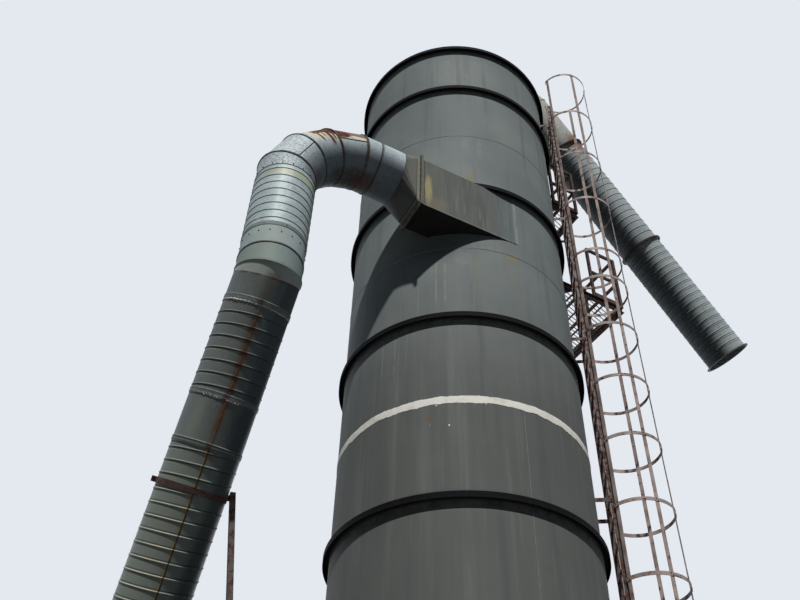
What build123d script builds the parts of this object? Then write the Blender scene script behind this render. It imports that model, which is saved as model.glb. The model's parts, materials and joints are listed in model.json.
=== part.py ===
"""Round baghouse dust collector: filter tower on legs, inlet and outlet ducts, ladder and landings.

The axis of the tower is the Z axis, and the ground is at Z = 0.
"""
import os
from math import cos, degrees, pi, radians, sin, sqrt, tan

from build123d import *

# Clearance between pieces that seat on each other along a curve.
seat_gap = 0.3

# Tower shell, rolled plate courses and rolled angle stiffeners.
shell_radius = 1500.0
shell_wall = 6.0
shell_bottom = 5240.0
course_height = 2440.0
course_count = 4
ring_projection = 70.0
ring_depth = 70.0
ring_thickness = 8.0

# Roof and its outlet neck.
roof_plate = 6.0
roof_slope = 8.0
roof_flat_width = 60.0
roof_overhang = 62.0

# Round ducting.
duct_radius = 355.0
duct_wall = 3.0
elbow_wall = 4.0
elbow_radius = 1067.0
seam_height = 9.0
seam_width = 16.0
duct_flange_width = 45.0
duct_flange_thickness = 10.0
duct_flange_gasket = 4.0
gasket_inset = 8.0
joint_band_height = 7.0
joint_band_width = 60.0
joint_band_bevel = 6.0
flange_bolt_count = 8
flange_bolt_hole = 14.0
flange_bolt_edge = 18.0

# Tangential inlet. Its bearing is the way it leaves the tower, from the X axis.
inlet_bearing = -148.5
inlet_width = 457.0
inlet_height = 914.0
inlet_plate = 5.0
inlet_reach = 1420.0
inlet_flange_width = 45.0
inlet_flange_thickness = 9.0
inlet_flange_gasket = 4.0
transition_length = 262.0
transition_facets = 24
round_axis_inset = 250.0
round_axis_rise = 152.3
collar_length = 330.0
inlet_elbow_seams = 4

# Riser under the inlet elbow, its bend, and the slanting duct that follows it down.
riser_length = 1033.0
bend_drop = 487.0
slant_bearing = 123.9
slant_from_vertical = 32.0
slant_first_joint = 350.0
slant_ribbed_length = 1010.0
slant_plain_length = 500.0
slant_section_length = 1950.0
slant_foot_sections = 2

# Band and raking post that carry the slanting duct.
band_place = 435.0
band_width = 60.0
band_thickness = 8.0
post_side = 55.0
post_wall = 5.0
post_offset = 401.0
post_direction = 23.7
post_top_margin = 60.0
post_foot_x = -1350.0
post_foot_y = -1900.0
post_plate_side = 240.0
post_plate_thickness = 15.0

# Clean air outlet: a gooseneck over the roof, then a duct that slants down behind the tower.
outlet_bearing = 31.3
outlet_from_vertical = 36.2
outlet_rise = 898.0
gooseneck_names = ("rising", "crown", "falling")
outlet_elbow_seams = 2
neck_insertion = 40.0
neck_collar_height = 60.0
outlet_collar_length = 900.0
outlet_section_length = 2440.0
outlet_section_count = 2

# Hopper, ring girder and legs.
girder_depth = 300.0
girder_flange = 100.0
girder_web = 10.0
hopper_slope = 60.0
hopper_wall = 6.0
hopper_outlet_radius = 250.0
hopper_neck_length = 120.0
hopper_flange_width = 50.0
hopper_flange_thickness = 12.0
leg_count = 4
leg_first_bearing = 45.0
leg_side = 200.0
leg_flange = 12.0
leg_web = 9.0
base_plate_length = 440.0
base_plate_width = 260.0
base_plate_thickness = 25.0
anchor_offset = 170.0
anchor_hole = 33.0
brace_side = 75.0
brace_wall = 8.0
brace_low = 450.0
brace_top_margin = 540.0
brace_gap = 6.0

# Ladder up the right side of the tower, seen with its rungs end on.
ladder_bearing = -1.8
ladder_standoff = 179.0
ladder_width = 430.0
ladder_rail_depth = 60.0
ladder_rail_thickness = 10.0
ladder_over_shell = 100.0
rung_pitch = 305.0
rung_side = 20.0
bracket_pitch = 2440.0
bracket_top_margin = 600.0
bracket_width = 50.0
bracket_thickness = 8.0

# Safety cage round the ladder.
cage_radius = 400.0
cage_centre_reach = 300.0
cage_bar_width = 45.0
cage_bar_thickness = 6.0
cage_over_ladder = 700.0
upper_hoop_pitch = 1155.0
upper_hoop_count = 5
lower_cage_drop = 560.0
lower_hoop_pitch = 885.0
lower_hoop_count = 10
cage_strap_turn = 67.0
cage_straps_per_side = 2

# Landings beside the ladder. Offsets are square to the bearing of the landings.
landing_bearing = 32.7
landing_near_offset = -607.0
landing_far_offset = 893.0
landing_height = 11300.0
landing_depth = 1110.0
upper_landing_rise = 1900.0
upper_landing_depth = 520.0
beam_depth = 100.0
beam_width = 45.0
beam_wall = 6.0
grating_depth = 30.0
grating_bar = 6.0
grating_pitch = 100.0
grating_shell_gap = 25.0
grating_cross_pitch = 450.0
gusset_length = 260.0
gusset_depth = 240.0
gusset_plate = 8.0
gusset_lap = 40.0
rail_height = 1070.0
rail_side = 40.0
rail_gate = 540.0
upper_rail_gate = 480.0
rail_wall_gap = 150.0
knee_rail_height = 556.0
toe_board_height = 100.0
toe_board_plate = 5.0

shell_top = shell_bottom + course_height * course_count
shell_inner_radius = shell_radius - shell_wall
ring_radius = shell_radius + ring_projection
duct_inner_radius = duct_radius - duct_wall
elbow_inner_radius = duct_radius - elbow_wall
duct_ring_radius = duct_radius + seat_gap
joint_gap = 2.0 * duct_flange_thickness + duct_flange_gasket


def save(name, shape):
    export_step(shape, f"parts/{name}.step")


def turned(points):
    """Solid turned round Z from (radius, height) points."""
    return revolve(make_face(Polyline(*[(r, 0, z) for r, z in points], close=True)), Axis.Z)


def ring(inner, outer, low, high):
    return turned([(inner, low), (outer, low), (outer, high), (inner, high)])


def bar(start, end, width, depth, side=None):
    """Straight bar of rectangular section from start to end."""
    start, end = Vector(*start), Vector(*end)
    side = Vector(*side) if side else None
    plane = Plane(origin=start, x_dir=side, z_dir=end - start)
    return extrude(plane * Rectangle(width, depth), (end - start).length)


def heading(bearing, from_vertical):
    """Unit vector that slants down towards a bearing."""
    tilt = radians(from_vertical)
    return Vector(sin(tilt) * cos(radians(bearing)), sin(tilt) * sin(radians(bearing)), -cos(tilt))


def along(start, direction):
    """Place whose Z runs along a duct from its start."""
    return Plane(origin=start, z_dir=direction).location


def elbow_corners(start, direction, inward, angle, seams):
    """Corners of the centre line of a gored elbow, with its two ends."""
    step = radians(angle) / seams
    corner_radius = elbow_radius / cos(step / 2)
    centre = start + inward * elbow_radius
    corners = [start]
    for index in range(seams):
        turn = (index + 0.5) * step
        corners.append(centre + (direction * sin(turn) - inward * cos(turn)) * corner_radius)
    turn = radians(angle)
    corners.append(centre + (direction * sin(turn) - inward * cos(turn)) * elbow_radius)
    return corners


def mitred_bar(corners, radius):
    start = Plane(origin=corners[0], z_dir=corners[1] - corners[0])
    return sweep(start * Circle(radius), path=Polyline(*corners), transition=Transition.RIGHT)


def mitred_duct(corners):
    """Hollow duct with a raised standing seam at each mitre."""
    duct = mitred_bar(corners, duct_radius)
    seam_radius = duct_radius + seam_height
    for before, corner, after in zip(corners, corners[1:], corners[2:]):
        arriving = (corner - before).normalized()
        leaving = (after - corner).normalized()
        half_turn = radians(arriving.get_angle(leaving) / 2)
        mitre = Plane(origin=corner, x_dir=leaving - arriving, z_dir=arriving + leaving)
        outline = mitre * Ellipse(seam_radius / cos(half_turn), seam_radius)
        duct += extrude(outline, seam_width / 2, both=True)
    return duct - mitred_bar(corners, elbow_inner_radius)


def straight_duct(length):
    return ring(duct_inner_radius, duct_radius, 0, length)


def flange_pair():
    """Two duct flanges along Z with a gasket between them, open for the duct."""
    inner = duct_ring_radius
    outer = duct_radius + duct_flange_width
    gasket_outer = outer - gasket_inset
    faces = duct_flange_thickness
    full = joint_gap
    return turned([
        (inner, 0), (outer, 0), (outer, faces), (gasket_outer, faces),
        (gasket_outer, full - faces), (outer, full - faces), (outer, full), (inner, full),
    ])


def end_flange(outer, inner, thickness, bolt_edge):
    """Flat flange along Z with its bolt holes."""
    flange = ring(inner, outer, 0, thickness)
    circle = outer - bolt_edge
    for place in PolarLocations(circle, flange_bolt_count):
        flange -= place * Cylinder(flange_bolt_hole / 2, 4 * thickness)
    return flange


def channel(depth, width, wall):
    """Channel section with its web on the Y axis side and its flanges towards +X."""
    return make_face(Polyline(
        (0, -depth / 2), (width, -depth / 2), (width, wall - depth / 2), (wall, wall - depth / 2),
        (wall, depth / 2 - wall), (width, depth / 2 - wall), (width, depth / 2), (0, depth / 2),
        close=True,
    ))


# Frame of the inlet: X leaves the tower, Y points at the tangent plate.
inlet_frame = Rot(0, 0, inlet_bearing)
ring_heights = [shell_bottom + course_height * (index + 0.5) for index in range(course_count)]
inlet_top = ring_heights[2] - ring_depth / 2 - seat_gap
inlet_bottom = inlet_top - inlet_height
inlet_middle = (inlet_top + inlet_bottom) / 2
inlet_axis = shell_radius - inlet_width / 2
inlet_flange_depth = 2 * inlet_flange_thickness + inlet_flange_gasket
transition_start = inlet_reach + inlet_flange_depth
transition_end = transition_start + transition_length
round_axis = shell_radius - round_axis_inset
round_axis_height = inlet_middle + round_axis_rise
elbow_spring = transition_end + collar_length


def shell_course(index):
    low = shell_bottom + index * course_height
    course = ring(shell_inner_radius, shell_radius, low, low + course_height)
    passage_height = inlet_height - 2 * inlet_plate
    if low < inlet_bottom < low + course_height:
        passage_width = inlet_width - 2 * inlet_plate
        passage = inlet_frame * Pos(inlet_reach / 2, inlet_axis, inlet_middle) * Box(
            inlet_reach, passage_width, passage_height
        )
        course -= passage
    return course


def stiffener(middle):
    """Rolled angle: a level leg out from the shell and a leg hanging from its edge."""
    inner = shell_radius + seat_gap
    high = middle + ring_depth / 2
    low = middle - ring_depth / 2
    return turned([
        (inner, high - ring_thickness), (ring_radius - ring_thickness, high - ring_thickness),
        (ring_radius - ring_thickness, low), (ring_radius, low), (ring_radius, high), (inner, high),
    ])


def roof_rise(radius):
    """Height of the roof's underside over the shell at a radius."""
    return (shell_radius - roof_flat_width - radius) * tan(radians(roof_slope))


def roof():
    hole = duct_radius + seat_gap
    edge = shell_radius + roof_overhang
    flat = shell_radius - roof_flat_width
    top = shell_top + roof_plate
    return turned([
        (edge, shell_top), (edge, top), (flat, top), (hole, top + roof_rise(hole)),
        (hole, shell_top + roof_rise(hole)), (flat, shell_top),
    ])


def outlet_neck():
    """Duct stub through the roof, with an angle collar that sits on the cone."""
    low = shell_top + roof_rise(duct_radius) - neck_insertion
    collar_low = shell_top + roof_plate + roof_rise(duct_radius) + seat_gap
    collar_outer = duct_radius + duct_flange_width
    return turned([
        (duct_inner_radius, low), (duct_radius, low), (duct_radius, collar_low),
        (collar_outer, collar_low), (collar_outer, collar_low + duct_flange_thickness),
        (duct_radius + duct_wall, collar_low + duct_flange_thickness),
        (duct_radius + duct_wall, collar_low + neck_collar_height),
        (duct_radius, collar_low + neck_collar_height),
        (duct_radius, outlet_spring_height - joint_gap),
        (duct_inner_radius, outlet_spring_height - joint_gap),
    ])


# The gooseneck is a run of gored elbows with the same turn.
outlet_spring_height = shell_top + outlet_rise
outlet_out = Vector(cos(radians(outlet_bearing)), sin(radians(outlet_bearing)), 0)
outlet_heading = heading(outlet_bearing, outlet_from_vertical)
outlet_elbow_turn = (180 - outlet_from_vertical) / len(gooseneck_names)


def gooseneck_line(index):
    """Centre line of one elbow of the gooseneck, counted from the neck."""
    turn = radians(index * outlet_elbow_turn)
    up = Vector(0, 0, 1)
    direction = up * cos(turn) + outlet_out * sin(turn)
    inward = outlet_out * cos(turn) - up * sin(turn)
    start = up * outlet_spring_height + (outlet_out - inward) * elbow_radius
    return elbow_corners(start, direction, inward, outlet_elbow_turn, outlet_elbow_seams)


outlet_elbow_end = gooseneck_line(len(gooseneck_names) - 1)[-1]


def outlet_point(distance):
    return outlet_elbow_end + outlet_heading * distance


def inlet_box():
    """Rectangular duct, one side plate tangent to the shell, cut to the curve of the shell."""
    middle = Pos(inlet_reach / 2, inlet_axis, inlet_middle)
    passage = Box(2 * inlet_reach, inlet_width - 2 * inlet_plate, inlet_height - 2 * inlet_plate)
    box = middle * (Box(inlet_reach, inlet_width, inlet_height) - passage)
    tower = Pos(0, 0, inlet_middle) * Cylinder(shell_radius + seat_gap, 2 * inlet_height)
    return inlet_frame * (box - tower)


def inlet_flanges():
    """Bolted angle flanges round the end of the rectangular duct, with their gasket."""
    def frame(start, length, border):
        outer = Box(length, inlet_width + 2 * border, inlet_height + 2 * border)
        inner = Box(2 * length, inlet_width - 2 * inlet_plate, inlet_height - 2 * inlet_plate)
        return Pos(start + length / 2, inlet_axis, inlet_middle) * (outer - inner)

    first = frame(inlet_reach, inlet_flange_thickness, inlet_flange_width)
    gasket_start = inlet_reach + inlet_flange_thickness
    gasket = frame(gasket_start, inlet_flange_gasket, inlet_flange_width - gasket_inset)
    second_start = gasket_start + inlet_flange_gasket
    second = frame(second_start, inlet_flange_thickness, inlet_flange_width)
    return inlet_frame * (first + gasket + second)


def square_to_round(half_width, half_height, radius):
    """Folded sheet form: four flat triangles and four fans from a corner to the round end."""
    corners = [
        Vector(transition_start, inlet_axis + y * half_width, inlet_middle + z * half_height)
        for y, z in ((1, 1), (-1, 1), (-1, -1), (1, -1))
    ]
    rim = []
    for index in range(transition_facets):
        turn = 2 * pi * index / transition_facets
        rim.append(Vector(
            transition_end, round_axis + radius * cos(turn), round_axis_height + radius * sin(turn)
        ))
    rim.append(rim[0])
    quarter = transition_facets // 4
    outlines = [corners, rim[:-1]]
    for side, corner in enumerate(corners):
        for index in range(side * quarter, (side + 1) * quarter):
            outlines.append([corner, rim[index], rim[index + 1]])
        outlines.append([corner, corners[(side + 1) % 4], rim[(side + 1) * quarter]])
    faces = [Face(Wire.make_polygon(outline, close=True)) for outline in outlines]
    return Solid(Shell(faces))


def inlet_transition():
    outer = square_to_round(inlet_width / 2, inlet_height / 2, duct_radius)
    inner = square_to_round(
        inlet_width / 2 - elbow_wall, inlet_height / 2 - elbow_wall, elbow_inner_radius
    )
    return inlet_frame * (Part() + outer - inner)


def inlet_vector(reach, height):
    """Point over the round duct's line, in the tower's frame."""
    place = inlet_frame * Pos(reach, round_axis, height)
    return place.position


inlet_out = (inlet_vector(1, 0) - inlet_vector(0, 0)).normalized()
riser_reach = elbow_spring + elbow_radius
riser_top = round_axis_height - elbow_radius
riser_bottom = riser_top - riser_length
bend_height = riser_bottom - bend_drop
elbow_line = [inlet_vector(transition_end, round_axis_height)] + elbow_corners(
    inlet_vector(elbow_spring, round_axis_height), inlet_out, Vector(0, 0, -1), 90, inlet_elbow_seams
)[1:]
down = Vector(0, 0, -1)
bend_corner = inlet_vector(riser_reach, bend_height)
slant_heading = heading(slant_bearing, slant_from_vertical)


def slant_point(distance):
    return bend_corner + slant_heading * distance


# Distances of the joints along the slanting duct, from the corner of the bend.
slant_joints = [slant_first_joint]
for section in (slant_ribbed_length, slant_plain_length, slant_section_length):
    slant_joints.append(slant_joints[-1] + section)
slant_end = slant_joints[-1] + slant_foot_sections * slant_section_length
band_distance = slant_joints[2] + band_place


def slant_section(start, end):
    return along(slant_point(start), slant_heading) * straight_duct(end - start)


def joint_band():
    """Lap band round a sealed duct joint, along Z and centred on the joint."""
    half = joint_band_width / 2
    outer = duct_radius + joint_band_height
    return turned([
        (duct_ring_radius, -half), (outer, joint_band_bevel - half),
        (outer, half - joint_band_bevel), (duct_ring_radius, half),
    ])


def joint_bands():
    bands = [along(slant_point(place), slant_heading) * joint_band() for place in slant_joints[:3]]
    riser_joint = inlet_vector(riser_reach, riser_bottom)
    bands.append(along(riser_joint, down) * joint_band())
    return Compound(bands)


def slant_flanges():
    places = (slant_joints[-1], slant_joints[-1] + slant_section_length)
    pairs = []
    for place in places:
        pairs.append(along(slant_point(place - joint_gap / 2), slant_heading) * flange_pair())
    return Compound(pairs)


post_side_vector = Vector(cos(radians(post_direction)), sin(radians(post_direction)), 0)
post_top = slant_point(band_distance) + post_side_vector * post_offset + Vector(0, 0, post_top_margin)
post_foot = Vector(post_foot_x, post_foot_y, post_plate_thickness)


def post_bar(side):
    run = post_foot - post_top
    plane = Plane(origin=post_top, x_dir=post_side_vector.cross(run), z_dir=run)
    return extrude(plane * Rectangle(side, side), run.length + side)


def post():
    """Square tube that rakes from the band to its foot plate."""
    tube = post_bar(post_side) - post_bar(post_side - 2 * post_wall)
    reach = 2 * post_plate_side
    ground = Pos(post_foot_x, post_foot_y, post_plate_thickness - reach / 2) * Box(reach, reach, reach)
    return tube - ground


def post_plate():
    place = Pos(post_foot_x, post_foot_y, post_plate_thickness / 2)
    return place * Box(post_plate_side, post_plate_side, post_plate_thickness)


def support_band():
    """Flat band clamped round the duct, with the lug that is fixed to the post."""
    outer = duct_ring_radius + band_thickness
    centre = slant_point(band_distance)
    band = along(centre, slant_heading) * ring(duct_ring_radius, outer, -band_width / 2, band_width / 2)
    lug_end = centre + post_side_vector * (post_offset + post_side / 2)
    lug = bar(centre, lug_end, band_width, band_width, side=slant_heading)
    bore = along(centre, slant_heading) * Cylinder((duct_ring_radius + outer) / 2, 2 * outer)
    return band + (lug - bore - post_bar(post_side + 2 * seat_gap))


def outlet_collar():
    return along(outlet_elbow_end, outlet_heading) * straight_duct(outlet_collar_length)


def outlet_duct(index):
    start = outlet_collar_length + index * outlet_section_length
    return along(outlet_point(start), outlet_heading) * straight_duct(outlet_section_length)


def outlet_flanges():
    pairs = [Pos(0, 0, outlet_spring_height - joint_gap) * flange_pair()]
    for index in range(outlet_section_count):
        place = outlet_collar_length + index * outlet_section_length - joint_gap / 2
        pairs.append(along(outlet_point(place), outlet_heading) * flange_pair())
    return Compound(pairs)


def open_end(point, direction):
    """Bolted flange that closes the run of a duct, flush with its end."""
    flange = end_flange(
        duct_radius + duct_flange_width, duct_ring_radius, duct_flange_thickness, flange_bolt_edge
    )
    return along(point - direction * duct_flange_thickness, direction) * flange


hopper_top = shell_bottom
hopper_height = (shell_radius - hopper_outlet_radius) * tan(radians(hopper_slope))
hopper_bottom = hopper_top - hopper_height
hopper_neck_bottom = hopper_bottom - hopper_neck_length
girder_low = shell_bottom - girder_depth


def hopper():
    """Cone under the shell with its discharge neck."""
    slant_wall = hopper_wall / sin(radians(hopper_slope))
    inner_top = shell_radius - slant_wall
    inner_low = hopper_outlet_radius - hopper_wall
    return turned([
        (shell_radius, hopper_top), (hopper_outlet_radius, hopper_bottom),
        (hopper_outlet_radius, hopper_neck_bottom), (inner_low, hopper_neck_bottom),
        (inner_low, hopper_bottom), (inner_top, hopper_top),
    ])


def hopper_flange():
    outer = hopper_outlet_radius + hopper_flange_width
    flange = end_flange(
        outer, hopper_outlet_radius + seat_gap, hopper_flange_thickness, flange_bolt_edge
    )
    return Pos(0, 0, hopper_neck_bottom) * flange


def ring_girder():
    """Rolled channel under the edge of the shell that passes its weight to the legs."""
    outer = shell_radius + girder_flange
    low, high = girder_low, shell_bottom
    wall = girder_web
    web = shell_radius + seat_gap
    return turned([
        (web, low), (outer, low), (outer, low + wall), (web + wall, low + wall),
        (web + wall, high - wall), (outer, high - wall), (outer, high), (web, high),
    ])


leg_radius = shell_radius + girder_flange / 2
leg_bearings = [leg_first_bearing + 360 / leg_count * index for index in range(leg_count)]


def on_each_leg(solid):
    return Compound([Rot(0, 0, bearing) * solid for bearing in leg_bearings])


def leg():
    half = leg_side / 2
    web = leg_web / 2
    inner = half - leg_flange
    section = make_face(Polyline(
        (-half, -half), (-inner, -half), (-inner, -web), (inner, -web), (inner, -half), (half, -half),
        (half, half), (inner, half), (inner, web), (-inner, web), (-inner, half), (-half, half),
        close=True,
    ))
    post_height = girder_low - base_plate_thickness
    return Pos(leg_radius, 0, base_plate_thickness) * extrude(section, post_height)


def base_plate():
    plate = Box(base_plate_length, base_plate_width, base_plate_thickness)
    for offset in (-anchor_offset, anchor_offset):
        plate -= Pos(offset, 0, 0) * Cylinder(anchor_hole / 2, 2 * base_plate_thickness)
    return Pos(leg_radius, 0, base_plate_thickness / 2) * plate


def brace(rise):
    """Angle bar between the next legs on both sides of the X axis, cut to seat on them."""
    half_angle = pi / leg_count
    span = leg_radius * sin(half_angle)
    layer = rise * (brace_side + brace_gap) / 2
    distance = leg_radius * cos(half_angle) + layer
    low = Vector(distance, -rise * span, brace_low)
    high = Vector(distance, rise * span, girder_low - brace_top_margin)
    run = high - low
    corner = brace_side / 2
    section = make_face(Polyline(
        (-corner, -corner), (corner, -corner), (corner, brace_wall - corner),
        (brace_wall - corner, brace_wall - corner), (brace_wall - corner, corner), (-corner, corner),
        close=True,
    ))
    plane = Plane(origin=low, x_dir=(1, 0, 0), z_dir=run)
    angle_bar = extrude(plane * section, run.length)
    envelope = Pos(leg_radius, 0, girder_low / 2) * Box(
        leg_side + 2 * seat_gap, leg_side + 2 * seat_gap, girder_low
    )
    for side in (-1, 1):
        angle_bar -= Rot(0, 0, side * degrees(half_angle)) * envelope
    return angle_bar


def braces():
    """Crossed pair of angle bars on each side of the stand, one passing outside the other."""
    half_step = 180 / leg_count
    bars = []
    for bearing in leg_bearings:
        for rise in (-1, 1):
            crossed = Rot(0, 0, bearing + half_step) * brace(rise)
            bars += sorted(crossed.solids(), key=lambda solid: solid.volume)[-1:]
    return Compound(bars)


ladder_frame = Rot(0, 0, ladder_bearing)
ladder_rung_radius = shell_radius + ladder_standoff
ladder_top = shell_top + ladder_over_shell


def ladder():
    """Two flat rails joined by square rungs set on edge."""
    rails = Part()
    for side in (-1, 1):
        centre = side * (ladder_width + ladder_rail_thickness) / 2
        rails += Pos(ladder_rung_radius, centre, ladder_top / 2) * Box(
            ladder_rail_depth, ladder_rail_thickness, ladder_top
        )
    rungs = int((ladder_top - rung_pitch) // rung_pitch) + 1
    for index in range(rungs):
        level = ladder_top - rung_pitch / 2 - index * rung_pitch
        rung = Rot(0, 45, 0) * Box(rung_side, ladder_width, rung_side)
        rails += Pos(ladder_rung_radius, 0, level) * rung
    return ladder_frame * rails


def ladder_brackets():
    """Pairs of flat bars from the shell to the rails."""
    reach = ladder_rung_radius - ladder_rail_depth / 2
    brackets = []
    for index in range(course_count):
        level = ladder_top - bracket_top_margin - index * bracket_pitch
        for side in (-1, 1):
            offset = side * (ladder_width / 2 + ladder_rail_thickness + bracket_thickness / 2 + seat_gap)
            root = sqrt(shell_inner_radius ** 2 - offset ** 2) - bracket_thickness
            length = reach + ladder_rail_depth - root
            plate = Pos(root + length / 2, offset, level) * Box(
                length, bracket_thickness, bracket_width
            )
            tower = Cylinder(shell_radius + seat_gap, 4 * shell_top)
            brackets.append(ladder_frame * (plate - tower))
    return Compound(brackets)


cage_top = ladder_top + cage_over_ladder
upper_cage_low = cage_top - (upper_hoop_count - 1) * upper_hoop_pitch
lower_cage_top = upper_cage_low - lower_cage_drop


def hoop(level):
    """Flat bar bent round, open at the ladder, with a lug from each end to its rail."""
    centre = Pos(ladder_rung_radius + cage_centre_reach, 0, level)
    inner = cage_radius - cage_bar_thickness
    bent_bar = centre * (Cylinder(cage_radius, cage_bar_width) - Cylinder(inner, cage_bar_width))
    bent_bar -= Pos(ladder_rung_radius - cage_radius, 0, level) * Box(
        2 * cage_radius, 2 * cage_radius, 2 * cage_bar_width
    )
    lug_start = ladder_width / 2 + ladder_rail_thickness + seat_gap
    lug_end = sqrt(cage_radius ** 2 - cage_centre_reach ** 2)
    for side in (-1, 1):
        lug_centre = side * (lug_start + lug_end) / 2
        bent_bar += Pos(ladder_rung_radius + cage_bar_thickness / 2, lug_centre, level) * Box(
            cage_bar_thickness, lug_end - lug_start, cage_bar_width
        )
    return bent_bar


def cage(high, pitch, count, strap_top):
    """Hoops tied by upright flats spread evenly inside them."""
    low = high - (count - 1) * pitch
    cage_solid = Part()
    for index in range(count):
        cage_solid += hoop(high - index * pitch)
    height = strap_top - low + cage_bar_width / 2
    middle = Pos(ladder_rung_radius + cage_centre_reach, 0, strap_top - height / 2)
    strap = Box(cage_bar_thickness, cage_bar_width, height)
    strap_reach = cage_radius - 1.5 * cage_bar_thickness
    for index in range(-cage_straps_per_side, cage_straps_per_side + 1):
        cage_solid += middle * Rot(0, 0, index * cage_strap_turn) * Pos(strap_reach, 0, 0) * strap
    return ladder_frame * cage_solid


landing_frame = Rot(0, 0, landing_bearing)
landing_width = landing_far_offset - landing_near_offset
landing_reach = shell_radius + landing_depth
upper_landing_height = landing_height + upper_landing_rise
upper_landing_reach = shell_radius + upper_landing_depth


def tower_cut(level):
    return Pos(0, 0, level) * Cylinder(shell_radius + seat_gap, 2 * shell_radius)


def landing_beams(level, reach):
    """Edge channels and gussets of a landing, welded as one frame and cut to the shell."""
    web = channel(beam_depth, beam_width, beam_wall)
    middle = level - beam_depth / 2
    frame = Part()
    near_web = landing_near_offset + beam_width
    far_web = landing_far_offset - beam_width
    plane = Plane(origin=(0, near_web, middle), x_dir=(0, -1, 0), z_dir=(-1, 0, 0))
    frame += extrude(plane * web, -reach)
    plane = Plane(origin=(0, far_web, middle), x_dir=(0, 1, 0), z_dir=(1, 0, 0))
    frame += extrude(plane * web, reach)
    plane = Plane(origin=(reach - beam_width, near_web, middle), x_dir=(1, 0, 0), z_dir=(0, -1, 0))
    frame += extrude(plane * web, near_web - far_web)
    for offset in (near_web - gusset_plate / 2, far_web + gusset_plate / 2):
        edge = sqrt(shell_radius ** 2 - offset ** 2)
        low = level - beam_depth
        outline = make_face(Polyline(
            (edge - gusset_lap, offset, low), (edge + gusset_length, offset, low),
            (edge - gusset_lap, offset, low - gusset_depth),
            close=True,
        ))
        frame += extrude(outline, gusset_plate / 2, both=True)
    return landing_frame * (frame - tower_cut(level))


def grating(level, reach):
    """Bearing bars along the bearing of the landing, tied by cross bars and cut round the shell."""
    near = landing_near_offset + beam_width + seat_gap
    far = landing_far_offset - beam_width - seat_gap
    outer = reach - beam_width - seat_gap
    middle = level - grating_depth / 2
    count = int((far - near - grating_bar) // grating_pitch)
    spacing = (far - near - grating_bar) / count
    mesh = Part()
    for index in range(count + 1):
        offset = near + grating_bar / 2 + index * spacing
        mesh += Pos(outer / 2, offset, middle) * Box(outer, grating_bar, grating_depth)
    rows = int((outer - shell_radius) // grating_cross_pitch) + 1
    for index in range(rows + 1):
        place = outer - grating_bar / 2 - index * grating_cross_pitch
        mesh += Pos(place, (near + far) / 2, middle) * Box(grating_bar, far - near, grating_depth)
    clear = Pos(0, 0, level) * Cylinder(shell_radius + grating_shell_gap, landing_width)
    return landing_frame * (mesh - clear)


def railing(level, reach, gate_width):
    """Posts, two rails and a toe board round the open sides of a landing."""
    half = rail_side / 2
    near = landing_near_offset + half
    far = landing_far_offset - half
    outer = reach - half
    gate = reach - gate_width
    wall_end = sqrt(shell_radius ** 2 - far ** 2) + rail_wall_gap
    rails = Part()
    upright = Box(rail_side, rail_side, rail_height)
    middle = level + seat_gap + rail_height / 2
    for x, y in ((gate, near), (outer, near), (outer, (near + far) / 2), (outer, far), (wall_end, far)):
        rails += Pos(x, y, middle) * upright
    for rail_level in (rail_height, knee_rail_height):
        height = level + rail_level - half
        corners = [
            (gate, near, height), (outer, near, height), (outer, far, height), (wall_end, far, height)
        ]
        for start, end in zip(corners, corners[1:]):
            rails += bar(start, end, rail_side, rail_side, side=(0, 0, 1))
    board = level + seat_gap + toe_board_height / 2
    rails += Pos(outer, (near + far) / 2, board) * Box(toe_board_plate, far - near, toe_board_height)
    rails += Pos((gate + outer) / 2, near, board) * Box(outer - gate, toe_board_plate, toe_board_height)
    return landing_frame * rails


os.makedirs("parts", exist_ok=True)
for index in range(course_count):
    save(f"shell_course_{index + 1}", shell_course(index))
    save(f"stiffener_ring_{index + 1}", stiffener(ring_heights[index]))
save("rim_ring", stiffener(shell_top - ring_depth / 2))
save("roof", roof())
save("outlet_neck", outlet_neck())
for index, name in enumerate(gooseneck_names):
    save(f"outlet_elbow_{name}", mitred_duct(gooseneck_line(index)))
save("outlet_collar", outlet_collar())
for index in range(outlet_section_count):
    save(f"outlet_duct_{index + 1}", outlet_duct(index))
save("outlet_flanges", outlet_flanges())
outlet_end = outlet_collar_length + outlet_section_count * outlet_section_length
save("outlet_end_flange", open_end(outlet_point(outlet_end), outlet_heading))
save("inlet_box", inlet_box())
save("inlet_flanges", inlet_flanges())
save("inlet_transition", inlet_transition())
save("inlet_elbow", mitred_duct(elbow_line))
save("riser_duct", along(inlet_vector(riser_reach, riser_top), down) * straight_duct(riser_length))
bend_line = [inlet_vector(riser_reach, riser_bottom), bend_corner, slant_point(slant_first_joint)]
save("riser_bend", mitred_duct(bend_line))
save("slant_duct_1", slant_section(slant_joints[0], slant_joints[1]))
save("slant_duct_2", slant_section(slant_joints[1], slant_joints[2]))
save("slant_duct_3", slant_section(slant_joints[2], slant_joints[3]))
save("slant_duct_4", slant_section(slant_joints[3], slant_end))
save("joint_bands", joint_bands())
save("slant_flanges", slant_flanges())
save("slant_end_flange", open_end(slant_point(slant_end), slant_heading))
save("support_band", support_band())
save("support_post", post())
save("support_post_plate", post_plate())
save("hopper", hopper())
save("hopper_flange", hopper_flange())
save("ring_girder", ring_girder())
save("legs", on_each_leg(leg()))
save("base_plates", on_each_leg(base_plate()))
save("leg_braces", braces())
save("ladder", ladder())
save("ladder_brackets", ladder_brackets())
strap_end = cage_bar_width / 2
save("upper_cage", cage(cage_top, upper_hoop_pitch, upper_hoop_count, cage_top + strap_end))
strap_top = upper_cage_low - strap_end - seat_gap
save("lower_cage", cage(lower_cage_top, lower_hoop_pitch, lower_hoop_count, strap_top))
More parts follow.
